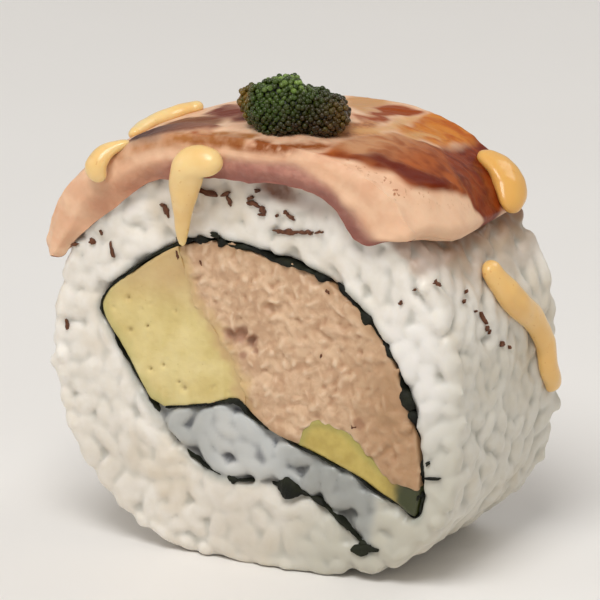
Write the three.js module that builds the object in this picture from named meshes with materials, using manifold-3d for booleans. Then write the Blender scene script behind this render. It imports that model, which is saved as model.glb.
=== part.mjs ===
// One slice of an inside-out sushi roll (uramaki), standing on its rounded side with a cut face to the
// front. From the outside in: a thick coat of sushi rice, a sheet of nori that spirals once round the filling
// and traps a band of the same rice under it, then rolled omelette, tuna salad and a strip of avocado side by
// side. A slice of seared fish is draped over the top. Five drizzles of thick mayonnaise sauce and a mound of
// fish roe lie on it.
//
// Millimetres, +Z up. The origin is the middle of the flat underside. The roll's axis runs along Y, and the
// shown cut face looks along -Y. Pieces that touch in the real slice keep a gap of GAP to each other.

import * as THREE from "three";
import { mergeVertices } from "three/addons/utils/BufferGeometryUtils.js";
import Module from "manifold-3d";

const wasm = await Module();
wasm.setup();

// ---------------------------------------------------------------- driving dimensions

const SLICE_LENGTH = 26; // from cut face to cut face
const RICE_HALF_WIDTH = 25.4;
const RICE_HALF_HEIGHT = 23.9;
const AXIS_HEIGHT = 23; // of the roll's axis: less than the half height, so that the roll stands on a flat
const RICE_SQUARENESS = 2.25; // exponent of the superellipse that the rolling mat presses the rice into
const NORI_THICKNESS = 0.5;
const GAP = 0.3;

const FRONT = -SLICE_LENGTH / 2;
const BACK = SLICE_LENGTH / 2;
const DEGREE = Math.PI / 180;

// ---------------------------------------------------------------- small maths

const clamp01 = (t) => Math.min(1, Math.max(0, t));
const smooth = (t) => clamp01(t) ** 2 * (3 - 2 * clamp01(t));
const mix = (a, b, t) => a + (b - a) * t;
const bell = (t, middle, width) => Math.exp(-(((t - middle) / width) ** 2));

// A point at an angle round the roll's axis, from +X towards +Z, at a radius and a place along Y.
const aroundAxis = (angle, radius, y) =>
  new THREE.Vector3(radius * Math.cos(angle), y, AXIS_HEIGHT + radius * Math.sin(angle));

// ---------------------------------------------------------------- solids

// A geometry with shared vertices as a closed solid, whichever way its faces were wound.
function toSolid(positions, triangles) {
  const made = new wasm.Manifold(
    new wasm.Mesh({ numProp: 3, vertProperties: positions, triVerts: triangles }),
  );
  if (made.volume() >= 0) return made;
  const turned = triangles.map((_, i) => triangles[i % 3 === 1 ? i + 1 : i % 3 === 2 ? i - 1 : i]);
  return toSolid(positions, turned);
}

// A closed skin through rings of equally many points, each end shut by a fan to the middle of its ring.
function loft(rings) {
  const count = rings[0].length;
  const points = rings.flat();
  const triangles = [];
  for (let i = 0; i + 1 < rings.length; i++) {
    for (let j = 0; j < count; j++) {
      const [a, b] = [i * count + j, i * count + ((j + 1) % count)];
      triangles.push(a, b, a + count, b, b + count, a + count);
    }
  }
  for (const [first, forward] of [[0, false], [(rings.length - 1) * count, true]]) {
    const middle = new THREE.Vector3();
    for (let j = 0; j < count; j++) middle.add(points[first + j]);
    points.push(middle.divideScalar(count));
    for (let j = 0; j < count; j++) {
      const [a, b] = [first + j, first + ((j + 1) % count)];
      triangles.push(...(forward ? [a, b, points.length - 1] : [b, a, points.length - 1]));
    }
  }
  const positions = new Float32Array(points.flatMap((p) => [p.x, p.y, p.z]));
  return toSolid(positions, new Uint32Array(triangles));
}

// A flat outline of [x, z] points carried along Y.
function prism(outline, from = FRONT, to = BACK) {
  const shape = new THREE.Shape(outline.map(([x, z]) => new THREE.Vector2(x, z)));
  const geometry = new THREE.ExtrudeGeometry(shape, { depth: to - from, bevelEnabled: false });
  geometry.rotateX(Math.PI / 2).translate(0, to, 0);
  geometry.deleteAttribute("normal");
  geometry.deleteAttribute("uv");
  const merged = mergeVertices(geometry, 1e-3);
  return toSolid(merged.attributes.position.array, new Uint32Array(merged.index.array));
}

// The largest body of a solid, without the slivers that a cut can leave.
function largest(solid) {
  const bodies = solid.decompose();
  return bodies.reduce((best, body) => (body.volume() > best.volume() ? body : best));
}

function meshOf(name, solid, color, roughness) {
  const { vertProperties, triVerts } = largest(solid).getMesh();
  const geometry = new THREE.BufferGeometry();
  geometry.setAttribute("position", new THREE.BufferAttribute(vertProperties, 3));
  geometry.setIndex(new THREE.BufferAttribute(triVerts, 1));
  geometry.computeVertexNormals();
  const material = new THREE.MeshStandardMaterial({ color, roughness, metalness: 0 });
  const mesh = new THREE.Mesh(geometry, material);
  mesh.name = name;
  return mesh;
}

// ---------------------------------------------------------------- the rice coat

const RICE_STEPS = 112; // round the roll
const RICE_SHOULDER = 1.0; // how far the edge round each cut face is rounded off
const FLAT_LIMIT = 24; // degrees either side of straight down within which the rice is pressed smooth

// The outer radius at an angle: a superellipse with a bulge low on the right, where the roll sags.
function riceRadius(angle) {
  const across = Math.abs(Math.cos(angle)) / RICE_HALF_WIDTH;
  const up = Math.abs(Math.sin(angle)) / RICE_HALF_HEIGHT;
  const pressed = (across ** RICE_SQUARENESS + up ** RICE_SQUARENESS) ** (-1 / RICE_SQUARENESS);
  const turned = Math.atan2(Math.sin(angle), Math.cos(angle)) / DEGREE;
  return pressed + 2.3 * bell(turned, -37, 24);
}

// The rice is smooth under the fish and on the flat; elsewhere grains swell and dip by up to about 0.4 mm.
function riceLumps(angle, y) {
  const turned = Math.atan2(Math.sin(angle), Math.cos(angle)) / DEGREE;
  const underFish = smooth((turned - 24) / 8) * smooth((172 - turned) / 8);
  const onTable = 1 - smooth((Math.abs(turned + 90) - FLAT_LIMIT) / 10);
  const lumps =
    0.2 * Math.sin(9 * angle + 0.32 * y + 1.3) * Math.cos(0.42 * y - 2 * angle) +
    0.17 * Math.sin(15 * angle - 0.55 * y) +
    0.12 * Math.sin(21 * angle + 0.9 * y + 0.7);
  return lumps * (1 - underFish) * (1 - onTable);
}

function riceCoat(grow = 0) {
  const rows = [
    [0, RICE_SHOULDER],
    [0.35, 0.45],
    [1, 0.12],
    [2.2, 0],
    [5.8, 0],
    [9.4, 0],
    [13, 0],
  ];
  const half = rows.map(([inset, shrink]) => ({ y: FRONT + inset - grow, shrink }));
  const mirrored = half.slice(0, -1).reverse().map(({ y, shrink }) => ({ y: -y, shrink }));
  const rings = [...half, ...mirrored].map(({ y, shrink }) =>
    Array.from({ length: RICE_STEPS }, (_, i) => {
      const angle = (i / RICE_STEPS) * 2 * Math.PI;
      const radius = riceRadius(angle) - shrink + riceLumps(angle, y) + grow;
      const point = aroundAxis(angle, radius, y);
      point.z = Math.max(point.z, -grow);
      return point;
    }),
  );
  return loft(rings);
}

// ---------------------------------------------------------------- the nori spiral

// The sheet's middle line as [x, z], from its outer end under the roll, clockwise round the filling, to its
// inner end under the omelette.
const NORI_LINE = [
  [14.4, 3.8],
  [12.4, 5.9],
  [8.7, 8.4],
  [4.4, 9.9],
  [0, 9.8],
  [-4.6, 10.1],
  [-8.2, 12],
  [-11, 14.6],
  [-13, 17.6], // under the omelette's low corner
  [-16.2, 23],
  [-19, 27.6],
  [-18.4, 29.6], // round the omelette's left corner
  [-14.6, 32.8],
  [-9.8, 36],
  [-4.6, 37.3],
  [0.8, 36.6],
  [6.6, 35.6],
  [12.4, 32.6],
  [16.8, 27.4],
  [19.3, 21.8],
  [20.8, 16],
  [21, 12.4],
  [20.8, 10],
  [20.3, 8.6], // the pinched fold at the filling's right tip
  [19.3, 8.9],
  [18, 9.8],
  [15.6, 10.8],
  [13.2, 12.2],
  [8, 14.1],
  [2.4, 15.9],
  [-0.2, 17.7], // folded up under the omelette's right corner
  [-1.8, 19],
  [-6, 17.9],
  [-11.2, 16.9],
];
const NORI_LOOP_START = 8; // the points from here on close round the filling
const NORI_SAMPLES = 4; // per span between two of those points

function sampledLine(points, samples = NORI_SAMPLES) {
  const line = new THREE.CatmullRomCurve3(
    points.map(([x, z]) => new THREE.Vector3(x, 0, z)),
    false,
    "centripetal",
  );
  return line.getPoints((points.length - 1) * samples).map((p) => [p.x, p.z]);
}

// The outline of a strip that reaches half to each side of a line and past each of its ends by more.
function stripOutline(line, half, more = 0) {
  const sides = line.map(([x, z], i) => {
    const before = line[Math.max(i - 1, 0)];
    const after = line[Math.min(i + 1, line.length - 1)];
    const along = new THREE.Vector2(after[0] - before[0], after[1] - before[1]).normalize();
    const reach = i === 0 ? -more : i === line.length - 1 ? more : 0;
    const middle = [x + along.x * reach, z + along.y * reach];
    return [1, -1].map((side) => [middle[0] - side * along.y * half, middle[1] + side * along.x * half]);
  });
  return [...sides.map(([left]) => left), ...sides.map(([, right]) => right).reverse()];
}

const noriLine = sampledLine(NORI_LINE);
const noriSheet = prism(stripOutline(noriLine, NORI_THICKNESS / 2));
const noriRoom = prism(stripOutline(noriLine, NORI_THICKNESS / 2 + GAP, GAP), FRONT - 1, BACK + 1);
const noriLoop = prism(noriLine.slice(NORI_LOOP_START * NORI_SAMPLES), FRONT - 1, BACK + 1);

const rice = riceCoat().subtract(noriLoop).subtract(noriRoom);

// ---------------------------------------------------------------- the filling

// Outlines that pick the omelette bar and the avocado strip out of the filling; the rest is tuna salad.
const OMELETTE = [
  [-24, 26],
  [-13, 41],
  [-9.4, 36.4],
  [-7.1, 30.1],
  [-4.2, 26.3],
  [-1.9, 23],
  [-0.8, 20.1],
  [-0.8, 15],
  [-14, 12],
];
const AVOCADO = [
  [5.6, 10],
  [5.8, 15.8],
  [7, 17.8],
  [8.8, 18.3],
  [12, 17.4],
  [14.9, 14.9],
  [16.9, 13.3],
  [19, 12.4],
  [22, 11.8],
  [22, 6],
];

// The outline moved outwards by a distance at every edge, its corners mitred.
function grown(outline, distance) {
  const area = outline.reduce((sum, [x, z], i) => {
    const [nx, nz] = outline[(i + 1) % outline.length];
    return sum + x * nz - nx * z;
  }, 0);
  const out = Math.sign(area) * distance;
  return outline.map((point, i) => {
    const before = outline[(i + outline.length - 1) % outline.length];
    const after = outline[(i + 1) % outline.length];
    const [a, b] = [[before, point], [point, after]].map(([from, to]) =>
      new THREE.Vector2(to[1] - from[1], from[0] - to[0]).normalize(),
    );
    const mitre = a.clone().add(b).multiplyScalar(out / (1 + a.dot(b)));
    return [point[0] + mitre.x, point[1] + mitre.y];
  });
}

const fillingRoom = prism(noriLine.slice(NORI_LOOP_START * NORI_SAMPLES)).subtract(noriRoom);
const omelette = fillingRoom.intersect(prism(OMELETTE));
const avocado = fillingRoom.intersect(prism(AVOCADO));
const tunaSalad = fillingRoom
  .subtract(prism(grown(OMELETTE, GAP), FRONT - 1, BACK + 1))
  .subtract(prism(grown(AVOCADO, GAP), FRONT - 1, BACK + 1));

// ---------------------------------------------------------------- the seared fish

const FISH_STEPS = 40;
const FISH_THICKNESS = 3.8;
const FISH_LEFT = 159; // degrees round the axis at which the front of the left tip ends
const FISH_RIGHT = 41.7; // and the front corner of the right end
const FISH_BOW = 5.4; // degrees by which the right end bows down, from its front corner back
const FISH_BOW_LENGTH = 0.36; // share of the fish's breadth within which it does
const FISH_LIP_DROP = 1.5; // how far the front edge hangs down over the cut face
const FISH_BACK_TAPER = 0.42; // share of the thickness that is left at the back edge
const END_ROOM = 1.2; // the ends slope, so a grown fish reaches this many times its growth round the axis

// Thickness along the slice, u from the left tip to the right end: blunt at both ends, thin over the crown.
function fishThickness(u) {
  const ends = mix(0.7, 1, smooth(u / 0.12)) * mix(0.55, 1, smooth((1 - u) / 0.1));
  return FISH_THICKNESS * ends * (1 - 0.14 * bell(u, 0.52, 0.16) + 0.1 * bell(u, 0.8, 0.12));
}

// The angles round the axis of the slice's two ends, v of the way from its front edge to its back edge.
const fishLeft = (v) => FISH_LEFT - 10 * v;
const fishRight = (v) => FISH_RIGHT - FISH_BOW * smooth(v / FISH_BOW_LENGTH);
const fishAngle = (u, v, more = 0) => mix(fishLeft(v) + more, fishRight(v) - more, u) * DEGREE;

const fishFront = (u) => FRONT - mix(0.9, 2.4, smooth(u / 0.7)) + 0.7 * bell(u, 1, 0.12);

// How far the front edge hangs over the cut face at u: most beside the two ends, least over the crown.
const fishLip = (u) =>
  FISH_LIP_DROP *
  smooth(u / 0.12) *
  smooth((1 - u) / 0.04) *
  (0.8 + 0.6 * bell(u, 0.2, 0.09) + 0.35 * bell(u, 0.62, 0.09) + 1.6 * bell(u, 0.93, 0.07));

// Height of the upper surface over the rice, with the shallow ripples of a slice that follows its muscle.
function fishTop(u, v) {
  const edges = mix(0.86, 1, smooth(v / 0.14)) * mix(1, FISH_BACK_TAPER, smooth((v - 0.3) / 0.7));
  const ripple = 0.16 * Math.sin(9 * v + 5 * u) + 0.1 * Math.sin(17 * u - 4 * v);
  return fishThickness(u) * edges + ripple * smooth(u / 0.2) * smooth((1 - u) / 0.2);
}

// The slice's skin; grow moves its upper side, ends and front outwards to leave room beside it.
function fishSlice(grow = 0) {
  const tops = [0.03, 0.13, 0.28, 0.46, 0.64, 0.82, 0.96];
  const unders = [0.98, 0.7, 0.4];
  const moreAngle = (END_ROOM * grow) / RICE_HALF_HEIGHT / DEGREE;
  const rings = Array.from({ length: FISH_STEPS + 1 }, (_, i) => {
    const u = i / FISH_STEPS;
    const front = fishFront(u) - grow;
    const back = BACK + 0.4 + grow;
    const drop = fishLip(u);
    const at = (v, height, y = mix(front, back, v)) => {
      const angle = fishAngle(u, v, moreAngle);
      return aroundAxis(angle, riceRadius(angle) + GAP - (grow > 0 ? GAP / 2 : 0) + height, y);
    };
    const inner = FRONT - GAP;
    return [
      at(0, -drop, front + 0.5),
      at(0, 0.5 * fishThickness(u) + grow / 2, front),
      ...tops.map((v) => at(v, fishTop(u, v) + grow)),
      at(1, 0.4 * FISH_BACK_TAPER * fishThickness(u), back),
      ...unders.map((v) => at(v, 0)),
      at(0.04, 0, inner),
      at(0.02, -drop, inner),
    ];
  });
  return loft(rings);
}

const fish = fishSlice();
const besideFood = fishSlice(GAP).add(riceCoat(GAP));

// A point over the fish's upper surface, at an angle in degrees round the axis and a place along Y.
function onFish(angleDegrees, y, lift) {
  const v = clamp01((y - FRONT) / SLICE_LENGTH);
  const u = clamp01((fishLeft(v) - angleDegrees) / (fishLeft(v) - fishRight(v)));
  const angle = angleDegrees * DEGREE;
  return aroundAxis(angle, riceRadius(angle) + GAP + fishTop(u, v) + lift, y);
}

// ---------------------------------------------------------------- the roe

const ROE_LOBES = [
  { angle: 84.4, y: -8.4, lift: 2.1, size: [4.4, 4, 3.8] },
  { angle: 74.2, y: -8, lift: 1.5, size: [3.4, 3.2, 2.5] },
  { angle: 80.5, y: -5.4, lift: 1.2, size: [4.2, 3.4, 2.8] },
];

// An ellipsoid whose radius swells and dips with its direction, as a spooned clump of tiny eggs does.
function roeLobe({ angle, y, lift, size }, grow = 0) {
  const geometry = new THREE.SphereGeometry(1, 20, 12);
  const middle = onFish(angle, y, lift);
  const place = geometry.attributes.position;
  for (let i = 0; i < place.count; i++) {
    const d = new THREE.Vector3().fromBufferAttribute(place, i);
    const lumps = 0.06 * Math.sin(7 * d.x + angle) * Math.cos(6 * d.y) + 0.05 * Math.sin(9 * d.z - 4 * d.x);
    place.setXYZ(i, ...[d.x, d.y, d.z].map((c, k) => c * (size[k] + grow) * (1 + lumps)));
  }
  geometry.translate(middle.x, middle.y, middle.z);
  geometry.deleteAttribute("normal");
  geometry.deleteAttribute("uv");
  const merged = mergeVertices(geometry, 1e-3);
  return toSolid(merged.attributes.position.array, new Uint32Array(merged.index.array));
}

const roeClump = (grow) => ROE_LOBES.map((lobe) => roeLobe(lobe, grow)).reduce((a, b) => a.add(b));
const roe = roeClump(0).subtract(besideFood);
const besideTopping = besideFood.add(roeClump(GAP));

// ---------------------------------------------------------------- the mayonnaise sauce

const BEAD_SIDES = 10;

// A bead of thick sauce along a line of points, each with the bead's radius there; both ends are rounded off.
function bead(stops, samples = 4) {
  const line = new THREE.CatmullRomCurve3(stops.map(([point]) => point), false, "centripetal");
  const steps = (stops.length - 1) * samples;
  const { normals, binormals } = line.computeFrenetFrames(steps, false);
  const rings = Array.from({ length: steps + 1 }, (_, i) => {
    const t = i / steps;
    const place = t * (stops.length - 1);
    const low = Math.min(Math.floor(place), stops.length - 2);
    const along = Math.min(i, steps - i) / samples;
    const round = Math.sqrt(1 - (1 - clamp01(along + 0.04)) ** 2);
    const radius = mix(stops[low][1], stops[low + 1][1], smooth(place - low)) * round;
    const middle = line.getPoint(t);
    return Array.from({ length: BEAD_SIDES }, (_, j) => {
      const turn = (j / BEAD_SIDES) * 2 * Math.PI;
      return middle
        .clone()
        .addScaledVector(normals[i], radius * Math.cos(turn))
        .addScaledVector(binormals[i], radius * Math.sin(turn));
    });
  });
  return loft(rings).subtract(besideTopping);
}

const onRice = (angleDegrees, y, lift) =>
  aroundAxis(angleDegrees * DEGREE, riceRadius(angleDegrees * DEGREE) + lift, y);
const hanging = (x, y, z) => new THREE.Vector3(x, y, z);

const sauces = {
  // Over the left shoulder of the fish.
  sauce_crown: bead([
    [onFish(116.5, -0.5, 0.2), 0.7],
    [onFish(121.5, -0.9, 0.25), 0.8],
    [onFish(125, -2.8, 0.25), 0.85],
    [onFish(126.3, -5.2, 0.2), 0.8],
    [onFish(125.3, -7.6, 0.15), 0.5],
  ]),
  // In front of it, along the fish's front edge and down its side.
  sauce_left: bead([
    [onFish(121.4, -13.2, 0.15), 0.6],
    [onFish(124.6, -13.8, 0.2), 0.95],
    [onFish(127.8, -14.6, 0.1), 1.3],
    [hanging(-18.2, -15.4, 44.9), 1.35],
    [hanging(-17.8, -15.2, 42.9), 0.85],
  ]),
  // From the front edge of the fish down over the rice to the nori.
  sauce_front: bead([
    [hanging(-2.9, -15.9, 48), 1.3],
    [hanging(-5.1, -16.1, 48), 1.65],
    [hanging(-6.6, -16, 46.5), 1.75],
    [hanging(-7, -15.6, 44), 1.6],
    [hanging(-7.5, -15.1, 41.3), 1.25],
    [hanging(-7.8, -14.6, 39.2), 0.95],
    [hanging(-8, -14.1, 36.8), 0.5],
  ]),
  // Over the right end of the fish near its back corner.
  sauce_right: bead([
    [onFish(51, 9.6, 0.3), 0.9],
    [onFish(46.4, 8.7, 0.4), 1.4],
    [onFish(42.6, 8.3, 0.5), 1.7],
    [onFish(39.4, 7.6, 0.5), 1.8],
    [onFish(36.9, 6.2, 0.3), 1.4],
  ]),
  // A squiggle down the rice on the right flank.
  sauce_flank: bead([
    [onRice(28.3, -1.6, 0.5), 1.3],
    [onRice(18.9, 0.7, 0.6), 1.7],
    [onRice(10.7, 5, 0.6), 1.6],
    [onRice(2.9, 7.7, 0.6), 1.4],
    [onRice(-4.1, 8.5, 0.6), 1.3],
    [onRice(-11, 10.8, 0.5), 1.1],
  ]),
};

// ---------------------------------------------------------------- the slice

const slice = new THREE.Group();
slice.add(
  meshOf("rice", rice, 0xe6e0d4, 0.5),
  meshOf("nori", noriSheet, 0x14170f, 0.45),
  meshOf("omelette", omelette, 0xd6c078, 0.5),
  meshOf("tuna_salad", tunaSalad, 0xc9a988, 0.65),
  meshOf("avocado", avocado, 0xb6a85a, 0.45),
  meshOf("fish_slice", fish, 0xd9a183, 0.35),
  meshOf("roe", roe, 0x2f3d1c, 0.15),
);
for (const [name, solid] of Object.entries(sauces)) slice.add(meshOf(name, solid, 0xf0c987, 0.25));

export default slice;
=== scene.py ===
# A thick slice of an inside-out sushi roll, dressed for its close-up: real rice grains over a core, a torn
# nori spiral, omelette, tuna salad and avocado at the cut, and seared fish, roe and mayonnaise sauce on top.
# Sizes are in millimetres until a mesh is made. +Z is up, and the roll's axis runs along Y.

import bpy
import numpy as np
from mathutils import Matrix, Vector


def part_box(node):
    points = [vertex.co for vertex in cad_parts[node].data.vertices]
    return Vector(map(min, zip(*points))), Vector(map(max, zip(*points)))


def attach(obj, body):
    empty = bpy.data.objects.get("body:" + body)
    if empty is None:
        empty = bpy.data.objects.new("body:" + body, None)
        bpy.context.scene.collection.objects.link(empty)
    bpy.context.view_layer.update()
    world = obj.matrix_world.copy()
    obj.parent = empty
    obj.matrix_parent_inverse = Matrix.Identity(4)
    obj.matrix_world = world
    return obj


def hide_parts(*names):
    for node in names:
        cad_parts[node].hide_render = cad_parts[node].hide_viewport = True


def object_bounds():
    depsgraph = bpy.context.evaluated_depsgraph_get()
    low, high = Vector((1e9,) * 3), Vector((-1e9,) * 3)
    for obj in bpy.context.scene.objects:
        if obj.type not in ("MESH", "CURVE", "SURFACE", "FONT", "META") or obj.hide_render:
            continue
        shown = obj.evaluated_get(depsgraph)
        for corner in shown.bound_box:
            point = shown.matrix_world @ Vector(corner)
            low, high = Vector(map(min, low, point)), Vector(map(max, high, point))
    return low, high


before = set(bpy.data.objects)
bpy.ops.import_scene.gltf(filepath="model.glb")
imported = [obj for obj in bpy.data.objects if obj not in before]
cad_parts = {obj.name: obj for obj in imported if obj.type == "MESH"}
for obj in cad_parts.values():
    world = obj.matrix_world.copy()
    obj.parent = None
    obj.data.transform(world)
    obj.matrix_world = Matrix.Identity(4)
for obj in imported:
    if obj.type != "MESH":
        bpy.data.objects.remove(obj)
cad_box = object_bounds()


# ---------------------------------------------------------------- table, light and camera
# A pale table that curves up behind into a backdrop, lit by a large soft lamp from above and three weaker
# ones. The camera stands a little to the right of the cut face and looks slightly down on it through a long
# lens.

MM = 0.001
VIEW_AZIMUTH = 27.0
VIEW_ELEVATION = 17.0
VIEW_DISTANCE = 900.0
VIEW_WIDTH = 67.5  # of the strip of table that fills the picture at the slice
LENS_FILM = 36.0
# Each lamp's azimuth and elevation in degrees, its distance and size in metres, and its power.
LAMPS = {
    "key_lamp": (12, 58, 0.75, 0.36, 3.8),
    "fill_lamp": (-60, 25, 0.9, 0.6, 1.1),
    "rim_lamp": (150, 45, 0.9, 0.4, 1.2),
    "low_lamp": (62, 6, 0.9, 0.6, 0.7),
}

middle = (Vector(cad_box[0]) + Vector(cad_box[1])) / 2


class Shade:
    """A value in a material. Arithmetic on it adds the Math nodes that work the result out."""

    def __init__(self, finish, socket):
        self.finish, self.socket = finish, socket

    def maths(self, operation, *values):
        return self.finish.node("Math", {"operation": operation}, dict(enumerate(values)))

    def __add__(self, other):
        return self.maths("ADD", self, other)

    def __rsub__(self, other):
        return self.maths("SUBTRACT", other, self)

    def __mul__(self, other):
        return self.maths("MULTIPLY", self, other)

    __radd__, __rmul__ = __add__, __mul__

    def between(self, low, high):
        """0 below low, 1 above high, with an easy slope from one to the other."""
        settings = {"interpolation_type": "SMOOTHSTEP"}
        return self.finish.node("MapRange", settings, {0: self, 1: low, 2: high, 3: 0.0, 4: 1.0})


def paint(red, green, blue):
    """A screen colour from 0 to 255 as the linear colour that a shader takes."""
    share = np.array([red, green, blue]) / 255
    linear = np.where(share <= 0.04045, share / 12.92, ((share + 0.055) / 1.055) ** 2.4)
    return (*linear, 1.0)


class Finish:
    """A material in the making, on one Principled surface. A colour is a link or a screen colour."""

    def __init__(self, name):
        self.material = bpy.data.materials.new(name)
        self.material.use_nodes = True
        self.tree = self.material.node_tree

    def put(self, socket, value):
        if isinstance(value, Shade):
            self.tree.links.new(value.socket, socket)
        else:
            socket.default_value = value

    def node(self, kind, settings=None, values=None, out=0):
        """One node: its settings go in first, then a value or a link for each socket that is named."""
        made = self.tree.nodes.new("ShaderNode" + kind)
        for name, value in (settings or {}).items():
            setattr(made, name, value)
        for name, value in (values or {}).items():
            self.put(made.inputs[name], value)
        return Shade(self, made.outputs[out])

    def surface(self, **values):
        """Sets sockets of the Principled surface; an underscore in a name stands for a space."""
        for name, value in values.items():
            self.put(self.tree.nodes["Principled BSDF"].inputs[name.replace("_", " ")], value)

    def flesh(self, weight, radius, scale):
        """Lets light in: how much, how far red, green and blue spread, and over how many millimetres."""
        self.surface(Subsurface_Weight=weight, Subsurface_Radius=radius, Subsurface_Scale=scale * MM)

    def noise(self, size, detail=2.0, distortion=0.0):
        """Noise from 0 to 1 whose swells are about size millimetres wide."""
        place = self.node("TexCoord", out="Object")
        values = {"Vector": place, "Scale": 1 / (size * MM), "Detail": detail, "Distortion": distortion}
        return self.node("TexNoise", None, values)

    def mix(self, share, first, second):
        """From the first colour at a share of 0 to the second at 1."""
        ends = [colour if isinstance(colour, Shade) else paint(*colour) for colour in (first, second)]
        return self.node("Mix", {"data_type": "RGBA"}, {0: share, 6: ends[0], 7: ends[1]}, out=2)

    def over(self, colour, *coats):
        """A colour with others laid over it in turn, each as [where, how strongly, colour]. Where is a value
        or the name of a layer."""
        for where, strength, coat in coats:
            where = self.layer(where) if isinstance(where, str) else where
            colour = self.mix(where * strength, colour, coat)
        return colour

    def layer(self, name):
        """A number that the mesh itself carries at each of its points."""
        return self.node("Attribute", {"attribute_name": name}, out="Fac")

    def bump(self, height, depth, strength=1.0, over=None):
        """The normal of a surface raised by height times depth millimetres."""
        values = {"Height": height, "Distance": depth * MM, "Strength": strength}
        return self.node("Bump", None, values | ({"Normal": over} if over else {}))


def add_mesh(name, points, faces, finish=None, sharp=60.0, layers=None):
    """A mesh from points in millimetres and arrays of faces, one row of point numbers a face. The volume
    under all faces is summed as signed pyramids from the origin, and where it comes out negative the faces
    are turned."""
    volume = 0.0
    for rows in faces:
        for k in range(1, rows.shape[1] - 1):
            a, b, c = points[rows[:, 0]], points[rows[:, k]], points[rows[:, k + 1]]
            volume += np.einsum("ij,ij->", a, np.cross(b, c))
    if volume < 0:
        faces = [rows[:, ::-1] for rows in faces]
    corners = np.concatenate([rows.ravel() for rows in faces])
    sizes = np.concatenate([np.full(len(rows), rows.shape[1]) for rows in faces])
    mesh = bpy.data.meshes.new(name)
    mesh.vertices.add(len(points))
    mesh.vertices.foreach_set("co", (points * MM).astype(np.float32).ravel())
    mesh.loops.add(len(corners))
    mesh.loops.foreach_set("vertex_index", corners.astype(np.int32))
    mesh.polygons.add(len(sizes))
    mesh.polygons.foreach_set("loop_start", (np.cumsum(sizes) - sizes).astype(np.int32))
    for layer, values in (layers or {}).items():
        column = mesh.attributes.new(layer, "FLOAT", "POINT").data
        column.foreach_set("value", values.astype(np.float32).ravel())
    mesh.update(calc_edges=True)
    mesh.validate()
    mesh.shade_smooth()
    mesh.set_sharp_from_angle(angle=np.radians(sharp))
    if finish:
        mesh.materials.append(finish.material)
    made = bpy.data.objects.new(name, mesh)
    bpy.context.scene.collection.objects.link(made)
    return made


def add_piece(name, points, faces, finish, nodes=(), sharp=60.0, layers=None):
    """A piece of the slice: a mesh that rides on the one body, takes a finish and hides the CAD nodes that it
    stands for."""
    made = add_mesh(name, points.reshape(-1, 3), faces, finish, sharp, layers)
    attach(made, "root")
    if nodes:
        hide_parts(*nodes)


def grid_faces(rows, columns):
    """The four-sided faces between neighbours in a grid of points."""
    index = np.arange(rows * columns).reshape(rows, columns)
    return np.stack([index[:-1, :-1], index[1:, :-1], index[1:, 1:], index[:-1, 1:]], -1).reshape(-1, 4)


def tube_faces(rings, sides, start=0):
    """The faces between rings of points, and one over each end; start is the number of the first point."""
    index = start + np.arange(rings * sides).reshape(rings, sides)
    wall = np.stack([index, np.roll(index, -1, 1)])
    wall = np.stack([wall[0, :-1], wall[0, 1:], wall[1, 1:], wall[1, :-1]], -1).reshape(-1, 4)
    return [wall, index[:1], index[-1:, ::-1]]


# The table's profile along Y: flat, then a quarter turn, then straight up.
TABLE_HALF_WIDTH = 1500.0
TABLE_NEAR = -1500.0
TABLE_FAR = 1100.0
TABLE_BEND = 300.0
TABLE_TOP = 1200.0
bend = np.radians(np.linspace(0, 90, 24))
turn = np.radians(VIEW_AZIMUTH)
profile_y = np.concatenate([[TABLE_NEAR], TABLE_FAR + TABLE_BEND * np.sin(bend), [TABLE_FAR + TABLE_BEND]])
profile_z = np.concatenate([[0.0], TABLE_BEND * (1 - np.cos(bend)), [TABLE_TOP]])
sides = np.array([-TABLE_HALF_WIDTH, TABLE_HALF_WIDTH])
table_x, table_y = np.broadcast_arrays(sides, profile_y[:, None])
table_z = np.broadcast_to(profile_z[:, None], table_x.shape)
across = table_x * np.cos(turn) - table_y * np.sin(turn)
away = table_x * np.sin(turn) + table_y * np.cos(turn)
table_points = np.stack([across, away, table_z], -1).reshape(-1, 3)

table_finish = Finish("table")
table_shade = table_finish.mix(table_finish.noise(60.0), (240, 237, 233), (234, 230, 225))
table_finish.surface(Base_Color=table_shade, Roughness=0.35)
table = add_mesh("table", table_points, [grid_faces(len(profile_y), 2)], table_finish)


def seen_from(azimuth, elevation, distance):
    """A place in metres, at an azimuth round the slice from -Y towards +X, an elevation and a distance."""
    turned, raised = np.radians([azimuth, elevation])
    flat = distance * np.cos(raised)
    return middle + Vector((flat * np.sin(turned), -flat * np.cos(turned), distance * np.sin(raised)))


def looking(place, kind, name):
    """An object made of a lamp or camera, at a place in metres and turned so that it faces the slice."""
    made = bpy.data.objects.new(name, kind)
    bpy.context.scene.collection.objects.link(made)
    made.location = place
    made.rotation_euler = (middle - place).to_track_quat("-Z", "Y").to_euler()
    return made


for name, (azimuth, elevation, distance, size, power) in LAMPS.items():
    lamp = bpy.data.lights.new(name, "AREA")
    lamp.shape = "SQUARE"
    lamp.size = size
    lamp.energy = power
    looking(seen_from(azimuth, elevation, distance), lamp, name)

world = bpy.data.worlds.new("room")
bpy.context.scene.world = world
world.use_nodes = True
world.node_tree.nodes["Background"].inputs["Color"].default_value = (1.0, 0.99, 0.97, 1.0)
world.node_tree.nodes["Background"].inputs["Strength"].default_value = 0.4

camera = bpy.data.cameras.new("camera")
camera.sensor_width = LENS_FILM
camera.lens = LENS_FILM * VIEW_DISTANCE / VIEW_WIDTH
camera.clip_end = 10.0
stand = seen_from(VIEW_AZIMUTH, VIEW_ELEVATION, VIEW_DISTANCE * MM)
bpy.context.scene.camera = looking(stand, camera, "camera")
bpy.context.scene.view_settings.view_transform = "Standard"


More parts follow.
